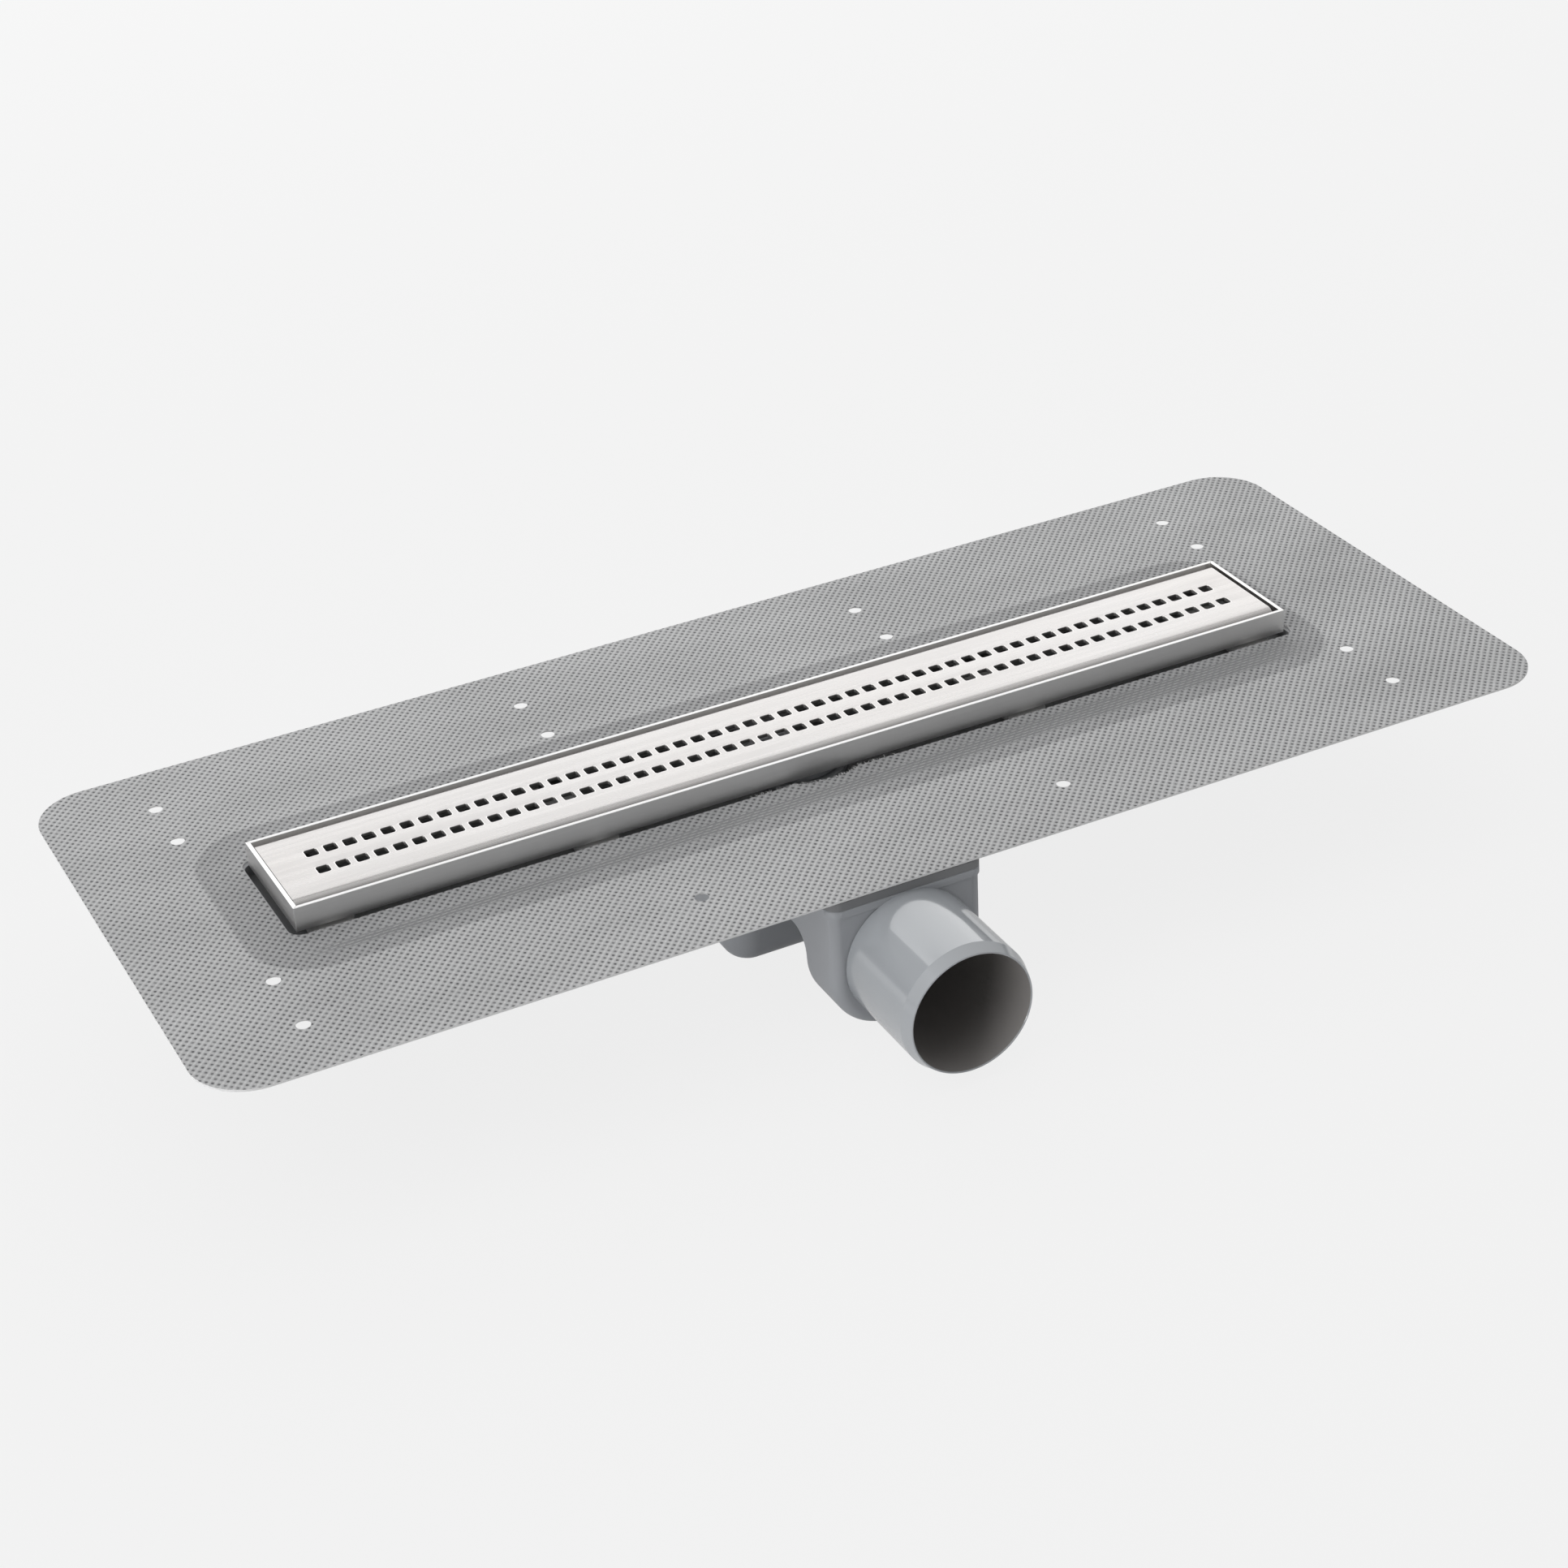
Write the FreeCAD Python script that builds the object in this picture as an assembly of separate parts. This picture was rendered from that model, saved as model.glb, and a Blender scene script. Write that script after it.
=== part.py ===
import FreeCAD, Part
import math
import os

from FreeCAD import Vector

# Linear shower drain. Millimetres, +Z up, +X along the channel, outlet towards -Y.
# The origin lies on the axis of the floor inlet, at the level of the trap's flat underside.

# Layers from the trap's foot upwards
chamber_ground_clearance = 2.5
chamber_floor_wall = 2.5
spigot_top_clearance = 0.2
rim_thickness = 3.6
deck_thickness = 4.0
flange_thickness = 3.0
membrane_thickness = 0.8
frame_rise = 8.7
frame_height = 9.4
wall = 3.0
overcut = 1.0

# Stainless frame, mitred from angle, and its place over the floor inlet
frame_length = 403.2
frame_width = 50.0
frame_shift_x = 0.5
frame_shift_y = 2.0
frame_wall = 1.5
ledge_width = 4.0

# Channel opening round the frame, with a round bulge over the inlet
frame_end_play = 2.0
frame_side_play = 2.3
opening_corner = 4.0
bulge_radius = 30.5
bulge_blend = 10.0

# Channel body: flange, trough, gutter, sump and inlet socket
flange_end_margin = 13.4
flange_side_margin = 22.7
flange_corner = 25.0
flange_shift_x = -3.0
trough_depth = 4.5
gutter_width = 14.0
gutter_end_margin = 7.6
gutter_step = 0.9
sump_depth = 7.6
socket_length = 11.0
flange_rib_pitch = 52.0
flange_rib_thickness = 2.0
flange_rib_reach = 15.0

# Sealing membrane, a sheet with punched fixing holes
membrane_end_margin = 46.0
membrane_side_margin = 55.6
membrane_corner = 21.0
membrane_shift_x = 4.0
membrane_shift_y = 2.4
cut_edge_margin = 1.0
cut_edge_shift_x = 0.8
cut_edge_shift_y = 1.7
fixing_hole_radius = 2.55
fixing_columns = 4
fixing_shift_x = -6.0
fixing_end_margin = 47.0
fixing_outer_back_margin = 27.3
fixing_outer_front_margin = 26.5
fixing_inner_back_margin = 53.0
fixing_inner_front_margin = 55.6

# Outlet spigot, cemented into its seat in the chamber's front wall
spigot_radius = 25.0
spigot_wall = 2.2
spigot_length = 43.9
spigot_chamfer_length = 5.0
spigot_lip = 0.6
spigot_seat_step = 0.4
seat_depth = 8.0

# Trap housing: bowl, overflow passage and outlet chamber
bowl_length = 94.8
bowl_width = 84.4
bowl_corner = 10.0
bowl_flare = 2.8
bowl_edge = 8.0
housing_rib_thickness = 2.4
housing_rib_height = 30.0
housing_rib_reach = 7.0
housing_rib_spacing = 40.0
outlet_x = -8.4
chamber_reach = 102.6
chamber_depth = 22.8
chamber_side_wall = 4.5
chamber_corner = 23.0
chamber_edge = 4.0
passage_floor = 33.5
passage_cove = 8.0
passage_edge = 2.5
rim_overhang = 0.8
rim_front_overhang = 0.4
seam_chamfer = 0.3
bead_edge = 0.6

# Removable trap insert and its lip seal
insert_tube_radius = 17.0
insert_wall = 1.5
insert_floor_gap = 8.0
insert_flange_thickness = 2.2
insert_flange_margin = 0.4
insert_seal_gap = 1.6
insert_seal_width = 3.5
insert_seal_drop = 5.0
insert_collar = 1.0
insert_collar_clearance = 0.3

# Hair strainer that hangs in the insert
strainer_cup_clearance = 0.5
strainer_rim_width = 3.0
strainer_rim_thickness = 1.2
strainer_seat_clearance = 0.3
strainer_wall = 1.2
strainer_depth = 11.0
strainer_slots = 8
strainer_slot_width = 3.0
strainer_slot_height = 6.0
strainer_floor_slot_width = 1.8
strainer_floor_slot_start = 6.0
strainer_floor_slot_margin = 2.6
knob_stem_radius = 2.4
knob_head_radius = 4.6
knob_height = 8.6
knob_head_height = 2.6

# Bail of the insert, hinged in two ears
bail_pin_radius = 0.8
bail_thickness = 1.6
bail_width = 1.8
bail_clearance = 0.3
bail_ear_thickness = 1.8
bail_ear_width = 4.0
bail_ear_height = 2.6

# Levelling hardware of the frame
foot_radius = 8.5
foot_thickness = 2.5
foot_end_inset = 13.6
foot_pair_spacing = 100.0
foot_from_front = 5.5
foot_from_back = 8.5
tab_width = 12.0
tab_length = 13.0
screw_radius = 2.0
screw_slot_width = 0.8
screw_slot_depth = 1.0
screw_proud = 0.2

# Perforated grate, folded down along both long sides
grate_drop = 0.2
grate_shift_x = -0.6
grate_shift_y = 0.4
grate_side_gap = 0.6
grate_end_gap = 0.9
grate_sheet = 1.5
grate_bend_radius = 4.0
hole_size = 4.5
hole_pitch = 7.12
hole_shift_x = 2.0
hole_end_margin = 14.0
hole_row_spacing = 12.3
pad_thickness = 2.0
pad_length = 12.0
pad_width = 3.0
pad_from_foot = 48.0
spacer_width = 2.2
spacer_height = 3.4
spacer_gaps_from_end = (5, 16)

# Derived heights
outlet_z = spigot_radius + chamber_floor_wall + chamber_ground_clearance
deck_bottom = outlet_z + spigot_radius + spigot_top_clearance
rim_bottom = deck_bottom - rim_thickness
membrane_bottom = deck_bottom + deck_thickness
membrane_top = membrane_bottom + membrane_thickness
flange_bottom = membrane_bottom - flange_thickness
trough_floor = membrane_bottom - trough_depth
sump_floor = membrane_bottom - sump_depth
frame_top = membrane_top + frame_rise
frame_bottom = frame_top - frame_height
ledge_top = frame_bottom + frame_wall
tab_top = ledge_top + frame_wall
foot_top = trough_floor + foot_thickness
grate_top = frame_top - grate_drop
grate_underside = grate_top - grate_sheet
grate_flange_bottom = ledge_top + pad_thickness
insert_bottom = wall + insert_floor_gap
insert_flange_top = sump_floor + insert_flange_thickness
seal_bottom = sump_floor - insert_seal_drop - insert_seal_width
strainer_rim_bottom = insert_flange_top - strainer_rim_thickness
bail_z = insert_flange_top + bail_ear_height / 2

# Derived plan sizes
opening_length = frame_length + 2 * frame_end_play
opening_width = frame_width + 2 * frame_side_play
flange_length = opening_length + 2 * flange_end_margin
flange_width = opening_width + 2 * flange_side_margin
membrane_length = flange_length + 2 * membrane_end_margin
membrane_width = flange_width + 2 * membrane_side_margin
fixing_pitch = (membrane_length - 2 * fixing_end_margin) / (fixing_columns - 1)
gutter_length = opening_length - 2 * gutter_end_margin
bowl_top_length = bowl_length + 2 * bowl_flare
bowl_top_width = bowl_width + 2 * bowl_flare
bowl_top_corner = bowl_corner + bowl_flare
chamber_half_width = spigot_radius + chamber_side_wall
chamber_face_y = -chamber_reach
chamber_back_y = chamber_face_y + chamber_depth
seat_radius = spigot_radius - spigot_seat_step
seat_end_y = chamber_face_y + seat_depth
shoulder_y = chamber_face_y - rim_front_overhang
spigot_tip_y = chamber_face_y - spigot_length
socket_radius = insert_tube_radius + insert_seal_gap
insert_bore = insert_tube_radius - insert_wall
strainer_cup_radius = insert_bore - strainer_cup_clearance
strainer_rim_radius = strainer_cup_radius + strainer_rim_width
strainer_seat_radius = strainer_rim_radius + strainer_seat_clearance
insert_flange_radius = strainer_seat_radius + bail_ear_thickness + insert_flange_margin
grate_width = frame_width - 2 * frame_wall - 2 * grate_side_gap
grate_length = frame_length - 2 * frame_wall - 2 * grate_end_gap
grate_x = frame_shift_x + grate_shift_x
grate_y = frame_shift_y + grate_shift_y
hole_centre_x = grate_x + hole_shift_x
hole_columns = int((grate_length - 2 * hole_end_margin) // hole_pitch) + 1
outer_foot_x = frame_length / 2 - foot_end_inset
inner_foot_x = outer_foot_x - foot_pair_spacing
foot_columns = (-outer_foot_x, -inner_foot_x, inner_foot_x, outer_foot_x)
UP = Vector(0, 0, 1)


def line(start, end):
    return Part.LineSegment(start, end).toShape()


def arc(start, middle, end):
    return Part.Arc(start, middle, end).toShape()


def turned_arc(centre, radius, start_deg, end_deg):
    """Arc in a horizontal plane, from one angle to another."""
    points = []
    for angle in (start_deg, (start_deg + end_deg) / 2, end_deg):
        turn = math.radians(angle)
        points.append(centre + Vector(radius * math.cos(turn), radius * math.sin(turn), 0))
    return arc(*points)


def rounded_outline(cx, cy, length, width, radius, z):
    """Closed horizontal outline of a rectangle with rounded corners."""
    x = length / 2 - radius
    y = width / 2 - radius
    edges = []
    last = None
    for quarter, (dx, dy) in enumerate(((x, y), (-x, y), (-x, -y), (x, -y))):
        start = 90 * quarter
        bend = turned_arc(Vector(cx + dx, cy + dy, z), radius, start, start + 90)
        if last is not None:
            edges.append(line(last, bend.valueAt(bend.FirstParameter)))
        edges.append(bend)
        last = bend.valueAt(bend.LastParameter)
    edges.append(line(last, edges[0].valueAt(edges[0].FirstParameter)))
    return Part.Wire(edges)


def rounded_plate(cx, cy, length, width, radius, low, high):
    outline = rounded_outline(cx, cy, length, width, radius, low)
    return Part.Face(outline).extrude(Vector(0, 0, high - low))


def box(x0, x1, y0, y1, z0, z1):
    return Part.makeBox(x1 - x0, y1 - y0, z1 - z0, Vector(x0, y0, z0))


def cylinder(cx, cy, radius, low, high):
    return Part.makeCylinder(radius, high - low, Vector(cx, cy, low), UP)


def turned(profile):
    """Solid of revolution about the inlet's axis, from (radius, height) points."""
    points = [Vector(r, 0, z) for r, z in profile]
    face = Part.Face(Part.makePolygon(points + points[:1]))
    return face.revolve(Vector(0, 0, 0), UP, 360)


def turned_about_outlet(profile):
    """Solid of revolution about the outlet's axis, from (radius, y) points."""
    points = [Vector(outlet_x + r, y, outlet_z) for r, y in profile]
    face = Part.Face(Part.makePolygon(points + points[:1]))
    return face.revolve(Vector(outlet_x, 0, outlet_z), Vector(0, 1, 0), 360)


def prism(points, direction):
    return Part.Face(Part.makePolygon(points + points[:1])).extrude(direction)


def edges_where(shape, test):
    """Edges whose every sample point passes the test."""
    chosen = []
    for edge in shape.Edges:
        first, last = edge.ParameterRange
        samples = [edge.valueAt(first + (last - first) * step) for step in (0.0, 0.5, 1.0)]
        if all(test(point) for point in samples):
            chosen.append(edge)
    return chosen


def near(value, target):
    return abs(value - target) < 1e-4


def opening_outline(margin, z):
    """Outline of the channel's opening: a long slot with a blended round bulge at the inlet."""
    half_x = opening_length / 2 + margin
    half_y = opening_width / 2 + margin
    corner = opening_corner + margin
    round_radius = bulge_radius + margin
    blend = bulge_blend - margin
    blend_x = math.sqrt((round_radius + blend) ** 2 - (half_y + blend) ** 2)
    blend_turn = math.degrees(math.atan2(half_y + blend, blend_x))
    flat_x = half_x - corner
    edges = []
    for side in (1, -1):
        turn = 0 if side > 0 else 180
        corner_y = side * (half_y - corner)
        long_y = side * half_y
        blend_y = side * (half_y + blend)
        edges.append(turned_arc(Vector(side * flat_x, corner_y, z), corner, turn, turn + 90))
        edges.append(line(Vector(side * flat_x, long_y, z), Vector(side * blend_x, long_y, z)))
        entry = Vector(side * blend_x, blend_y, z)
        edges.append(turned_arc(entry, blend, turn - 90, turn - 180 + blend_turn))
        edges.append(turned_arc(Vector(0, 0, z), round_radius, turn + blend_turn, turn + 180 - blend_turn))
        edges.append(turned_arc(Vector(-side * blend_x, blend_y, z), blend, turn - blend_turn, turn - 90))
        edges.append(line(Vector(-side * blend_x, long_y, z), Vector(-side * flat_x, long_y, z)))
        edges.append(turned_arc(Vector(-side * flat_x, corner_y, z), corner, turn + 90, turn + 180))
        edges.append(line(Vector(-side * half_x, corner_y, z), Vector(-side * half_x, -corner_y, z)))
    return Part.Wire(edges)


def opening_block(margin, low, high):
    return Part.Face(opening_outline(margin, low)).extrude(Vector(0, 0, high - low))


def fixing_holes():
    """Centres of the membrane's holes; the front inner row has only its two outer holes."""
    centres = []
    for column in range(fixing_columns):
        x = membrane_shift_x + fixing_shift_x + (column - (fixing_columns - 1) / 2) * fixing_pitch
        half = membrane_width / 2
        rows = [half - fixing_outer_back_margin, half - fixing_inner_back_margin,
                fixing_outer_front_margin - half]
        if column in (0, fixing_columns - 1):
            rows.append(fixing_inner_front_margin - half)
        centres += [(x, membrane_shift_y + row) for row in rows]
    return centres


def sealing_membrane():
    sheet = rounded_plate(membrane_shift_x, membrane_shift_y, membrane_length, membrane_width,
                          membrane_corner, membrane_bottom, membrane_top)
    low = membrane_bottom - overcut
    high = membrane_top + overcut
    punches = [cylinder(x, y, fixing_hole_radius, low, high) for x, y in fixing_holes()]
    window = opening_block(cut_edge_margin, low, high)
    window.translate(Vector(cut_edge_shift_x, cut_edge_shift_y, 0))
    return sheet.cut(punches + [window])


def gutter_form(margin, top):
    """Wedge that falls from both ends of the trough to the sump."""
    end_x = gutter_length / 2 + margin
    near_x = bulge_radius
    shallow = trough_floor - gutter_step - margin
    deep = sump_floor - margin
    half_width = gutter_width / 2 + margin
    profile = [(-end_x, top), (-end_x, shallow), (-near_x, deep),
               (near_x, deep), (end_x, shallow), (end_x, top)]
    points = [Vector(x, -half_width, z) for x, z in profile]
    return prism(points, Vector(0, 2 * half_width, 0))


def trough_outside():
    """The trough's outer form below the flange, which the trap housing closes against."""
    trough = opening_block(wall, trough_floor - wall, flange_bottom)
    gutter = gutter_form(wall, trough_floor)
    sump = cylinder(0, 0, bulge_radius + wall, sump_floor - wall, flange_bottom)
    return trough.fuse([gutter, sump])


def rim_form(low, high, round_low, round_high):
    """Plate that follows the joint of the two shells, one thickness of the visible bead."""
    bowl_plate = rounded_plate(0, 0, bowl_top_length + 2 * rim_overhang, bowl_top_width + 2 * rim_overhang,
                               bowl_top_corner + rim_overhang, low, high)
    reach = rim_front_overhang - chamber_face_y
    width = 2 * (chamber_half_width + rim_overhang)
    corner = chamber_edge + rim_overhang
    outlet_plate = rounded_plate(outlet_x, -reach / 2, width, reach, corner, low, high)
    for level, size in ((low, round_low), (high, round_high)):
        rim_edges = edges_where(outlet_plate, lambda point: near(point.z, level))
        outlet_plate = outlet_plate.makeChamfer(size, rim_edges)
    return bowl_plate.fuse(outlet_plate)


def flange_ribs():
    """Gussets between the trough's sides and the flange, clear of the trap housing."""
    ribs = []
    inner = opening_width / 2 + wall
    clear_x = bowl_top_length / 2 + rim_overhang
    count = int(opening_length / 2 // flange_rib_pitch)
    for index in range(1, count + 1):
        for side_x in (1, -1):
            x = side_x * index * flange_rib_pitch
            if abs(x) < clear_x + flange_rib_thickness:
                continue
            for side_y in (1, -1):
                points = [Vector(x - flange_rib_thickness / 2, side_y * y, z)
                          for y, z in ((inner, trough_floor - wall), (inner, flange_bottom),
                                       (inner + flange_rib_reach, flange_bottom))]
                ribs.append(prism(points, Vector(flange_rib_thickness, 0, 0)))
    return ribs


def channel_body():
    flange = rounded_plate(flange_shift_x, 0, flange_length, flange_width, flange_corner,
                           flange_bottom, membrane_bottom)
    deck = rim_form(deck_bottom, membrane_bottom, seam_chamfer, bead_edge)
    socket = cylinder(0, 0, socket_radius + wall, sump_floor - socket_length, sump_floor)
    body = flange.fuse([deck, trough_outside(), socket] + flange_ribs())
    over = membrane_bottom + overcut
    pocket = opening_block(0, trough_floor, over)
    gutter = gutter_form(0, trough_floor + overcut)
    sump = cylinder(0, 0, bulge_radius, sump_floor, over)
    bore = cylinder(0, 0, socket_radius, sump_floor - socket_length - overcut, over)
    return body.cut([pocket, gutter, sump, bore]).removeSplitter()


def bowl_form(inset, bottom, top):
    """Trap bowl with drafted walls and a rounded bottom edge, full size or inset by a wall."""
    lower = rounded_outline(0, 0, bowl_length - 2 * inset, bowl_width - 2 * inset,
                            bowl_corner - inset, bottom)
    upper = rounded_outline(0, 0, bowl_top_length - 2 * inset, bowl_top_width - 2 * inset,
                            bowl_top_corner - inset, top)
    bowl = Part.makeLoft([lower, upper], True, True)
    return bowl.makeFillet(bowl_edge - inset, edges_where(bowl, lambda point: near(point.z, bottom)))


def outlet_form(inset, top):
    """Passage and outlet chamber: a side profile crossed with the chamber's U section."""
    front = chamber_face_y + (seat_depth if inset else 0)
    back = chamber_back_y - inset
    floor = passage_floor + inset
    low = chamber_ground_clearance - overcut
    cove = passage_cove + inset
    slant = cove * (1 - math.cos(math.pi / 4))
    half = chamber_half_width - inset
    corner = chamber_corner - inset
    bottom = chamber_ground_clearance + inset
    bend = corner * (1 - math.cos(math.pi / 4))

    def at(y, z):
        return Vector(outlet_x - half - overcut, y, z)

    side = [line(at(front, low), at(front, top)), line(at(front, top), at(0, top)),
            line(at(0, top), at(0, floor)), line(at(0, floor), at(back + cove, floor)),
            arc(at(back + cove, floor), at(back + slant, floor - slant), at(back, floor - cove)),
            line(at(back, floor - cove), at(back, low)), line(at(back, low), at(front, low))]
    profile = Part.Face(Part.Wire(side)).extrude(Vector(2 * (half + overcut), 0, 0))

    def across(x, z):
        return Vector(outlet_x + x, front - overcut, z)

    section = [line(across(half, bottom + corner), across(half, top)),
               line(across(half, top), across(-half, top)),
               line(across(-half, top), across(-half, bottom + corner)),
               arc(across(-half, bottom + corner), across(bend - half, bottom + bend),
                   across(corner - half, bottom)),
               line(across(corner - half, bottom), across(half - corner, bottom)),
               arc(across(half - corner, bottom), across(half - bend, bottom + bend),
                   across(half, bottom + corner))]
    trunk = Part.Face(Part.Wire(section)).extrude(Vector(0, 2 * overcut - front, 0))
    return profile.common(trunk)


def housing_ribs():
    """Upright ribs under the rim at both ends of the bowl."""
    ribs = []
    for side_x in (1, -1):
        for side_y in (1, -1):
            low = rim_bottom - housing_rib_height
            outer = side_x * (bowl_length / 2 + housing_rib_reach)
            inner = side_x * (bowl_length / 2 - wall / 2)
            y = side_y * housing_rib_spacing / 2 - housing_rib_thickness / 2
            points = [Vector(inner, y, low), Vector(inner, y, rim_bottom), Vector(outer, y, rim_bottom)]
            ribs.append(prism(points, Vector(0, housing_rib_thickness, 0)))
    return ribs


def trap_housing():
    outlet = outlet_form(0, deck_bottom)
    face_edges = edges_where(outlet, lambda point: near(point.y, chamber_face_y))
    outlet = outlet.makeFillet(chamber_edge, [edge for edge in face_edges
                                              if not near(edge.CenterOfMass.z, deck_bottom)])
    side_edges = edges_where(outlet, lambda point: near(point.z, passage_floor)
                             and near(abs(point.x - outlet_x), chamber_half_width))
    outlet = outlet.makeFillet(passage_edge, side_edges)
    outside = bowl_form(0, 0, deck_bottom)
    outside = outside.fuse([outlet, rim_form(rim_bottom, deck_bottom, bead_edge, seam_chamfer)])
    outside = outside.fuse(housing_ribs())
    inside = bowl_form(wall, wall, deck_bottom).fuse(outlet_form(wall, deck_bottom))
    front = shoulder_y - overcut
    back = seat_end_y + overcut
    seat = turned_about_outlet([(0, back), (0, front), (seat_radius, front), (seat_radius, back)])
    return outside.cut([inside, seat, trough_outside()]).removeSplitter()


def outlet_pipe():
    bore = spigot_radius - spigot_wall
    tip = spigot_tip_y
    return turned_about_outlet([(bore, tip), (bore + spigot_lip, tip),
                                (spigot_radius, tip + spigot_chamfer_length),
                                (spigot_radius, shoulder_y), (seat_radius, shoulder_y),
                                (seat_radius, seat_end_y), (bore, seat_end_y)])


def trap_insert():
    """Dip tube with its flange, strainer seat and the two collars of the seal."""
    collar = socket_radius - insert_collar_clearance
    seal_top = seal_bottom + insert_seal_width
    tube = turned([(insert_bore, insert_bottom), (insert_tube_radius, insert_bottom),
                   (insert_tube_radius, seal_bottom - insert_collar), (collar, seal_bottom - insert_collar),
                   (collar, seal_bottom), (insert_tube_radius, seal_bottom), (insert_tube_radius, seal_top),
                   (collar, seal_top), (collar, seal_top + insert_collar),
                   (insert_tube_radius, seal_top + insert_collar), (insert_tube_radius, sump_floor),
                   (insert_flange_radius, sump_floor), (insert_flange_radius, insert_flange_top),
                   (strainer_seat_radius, insert_flange_top), (strainer_seat_radius, strainer_rim_bottom),
                   (insert_bore, strainer_rim_bottom)])
    ears = []
    for side in (1, -1):
        faces = sorted((side * strainer_seat_radius, side * (strainer_seat_radius + bail_ear_thickness)))
        ear = box(faces[0], faces[1], -bail_ear_width / 2, bail_ear_width / 2,
                  insert_flange_top, insert_flange_top + bail_ear_height)
        ears.append(ear.cut(pin_along_x(faces[0], faces[1])))
    return tube.fuse(ears)


def pin_along_x(start, end):
    return Part.makeCylinder(bail_pin_radius, end - start, Vector(start, 0, bail_z), Vector(1, 0, 0))


def trap_bail():
    """Flat moulded bow, folded down over the strainer's rim, with a pin in each ear."""
    outer = strainer_seat_radius - bail_clearance
    low = bail_z - bail_thickness / 2
    high = bail_z + bail_thickness / 2
    bow = cylinder(0, 0, outer, low, high)
    bow = bow.cut([cylinder(0, 0, outer - bail_width, low - overcut, high + overcut),
                   box(-outer - overcut, outer + overcut, bail_ear_width / 2, outer + overcut,
                       low - overcut, high + overcut)])
    pins = []
    for side in (1, -1):
        ends = sorted((side * (outer - bail_width / 2), side * (strainer_seat_radius + bail_ear_thickness)))
        pins.append(pin_along_x(ends[0], ends[1]))
    return bow.fuse(pins)


def trap_seal():
    """Lip ring that closes the gap between the dip tube and the socket."""
    low = seal_bottom
    high = seal_bottom + insert_seal_width
    waist = (insert_tube_radius + socket_radius) / 2
    return turned([(insert_tube_radius, low), (waist, low), (socket_radius, (low + high) / 2),
                   (waist, high), (insert_tube_radius, high)])


def hair_strainer():
    top = insert_flange_top
    floor = strainer_rim_bottom - strainer_depth
    plate = floor + strainer_wall
    inner = strainer_cup_radius - strainer_wall
    head_low = plate + knob_height - knob_head_height
    cup = turned([(0, floor), (strainer_cup_radius, floor), (strainer_cup_radius, strainer_rim_bottom),
                  (strainer_rim_radius, strainer_rim_bottom), (strainer_rim_radius, top), (inner, top),
                  (inner, plate), (knob_stem_radius, plate), (knob_stem_radius, head_low),
                  (knob_head_radius, head_low), (knob_head_radius, head_low + knob_head_height),
                  (0, head_low + knob_head_height)])
    slot_low = plate + strainer_wall
    wall_slot = box(inner - overcut, strainer_cup_radius + overcut,
                    -strainer_slot_width / 2, strainer_slot_width / 2,
                    slot_low, slot_low + strainer_slot_height)
    floor_slot = box(strainer_floor_slot_start, strainer_cup_radius - strainer_floor_slot_margin,
                     -strainer_floor_slot_width / 2, strainer_floor_slot_width / 2,
                     floor - overcut, plate + overcut)
    cuts = []
    for index in range(strainer_slots):
        for slot in (wall_slot, floor_slot):
            cuts.append(slot.rotated(Vector(0, 0, 0), UP, index * 360 / strainer_slots))
    return cup.cut(cuts)


def frame_box(length, width, low, high):
    return box(frame_shift_x - length / 2, frame_shift_x + length / 2,
               frame_shift_y - width / 2, frame_shift_y + width / 2, low, high)


def foot_places():
    """Centres of the levelling feet, with the side of the frame that each one stands on."""
    places = []
    for x in foot_columns:
        for side, inset in ((1, foot_from_back), (-1, foot_from_front)):
            places.append((frame_shift_x + x, frame_shift_y + side * (frame_width / 2 - inset), side))
    return places


def frame_rails():
    """The four mitred angle rails of the frame, by name, with the screws' holes in the ledge."""
    ring = frame_box(frame_length, frame_width, frame_bottom, frame_top)
    inside = frame_box(frame_length - 2 * frame_wall, frame_width - 2 * frame_wall,
                       ledge_top, frame_top + overcut)
    inset = 2 * (frame_wall + ledge_width)
    low = frame_bottom - overcut
    through = frame_box(frame_length - inset, frame_width - inset, low, ledge_top + overcut)
    holes = [cylinder(x, y, screw_radius, low, ledge_top + overcut) for x, y, side in foot_places()]
    ring = ring.cut([inside, through] + holes)
    half_x = frame_length / 2
    half_y = frame_width / 2
    corners = [(-half_x, -half_y), (half_x, -half_y), (half_x, half_y), (-half_x, half_y)]
    inner = [(-half_x + half_y, 0), (half_x - half_y, 0)]
    wedges = {"frame_front_rail": [corners[0], corners[1], inner[1], inner[0]],
              "frame_right_end": [corners[1], corners[2], inner[1]],
              "frame_back_rail": [corners[2], corners[3], inner[0], inner[1]],
              "frame_left_end": [corners[3], corners[0], inner[0]]}
    rails = {}
    for name, outline in wedges.items():
        points = [Vector(frame_shift_x + x, frame_shift_y + y, low) for x, y in outline]
        rails[name] = ring.common(prism(points, Vector(0, 0, frame_height + 2 * overcut)))
    return rails


def frame_feet():
    feet = []
    for x, y, side in foot_places():
        feet.append(cylinder(x, y, foot_radius, trough_floor, foot_top))
    return Part.makeCompound(feet)


def frame_tabs():
    """Threaded tabs welded on the ledge, one over each foot."""
    tabs = []
    outer = frame_width / 2 - frame_wall
    for x, y, side in foot_places():
        ends = sorted((frame_shift_y + side * outer, frame_shift_y + side * (outer - tab_length)))
        plate = box(x - tab_width / 2, x + tab_width / 2, ends[0], ends[1], ledge_top, tab_top)
        tabs.append(plate.cut(cylinder(x, y, screw_radius, ledge_top - overcut, tab_top + overcut)))
    return Part.makeCompound(tabs)


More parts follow.
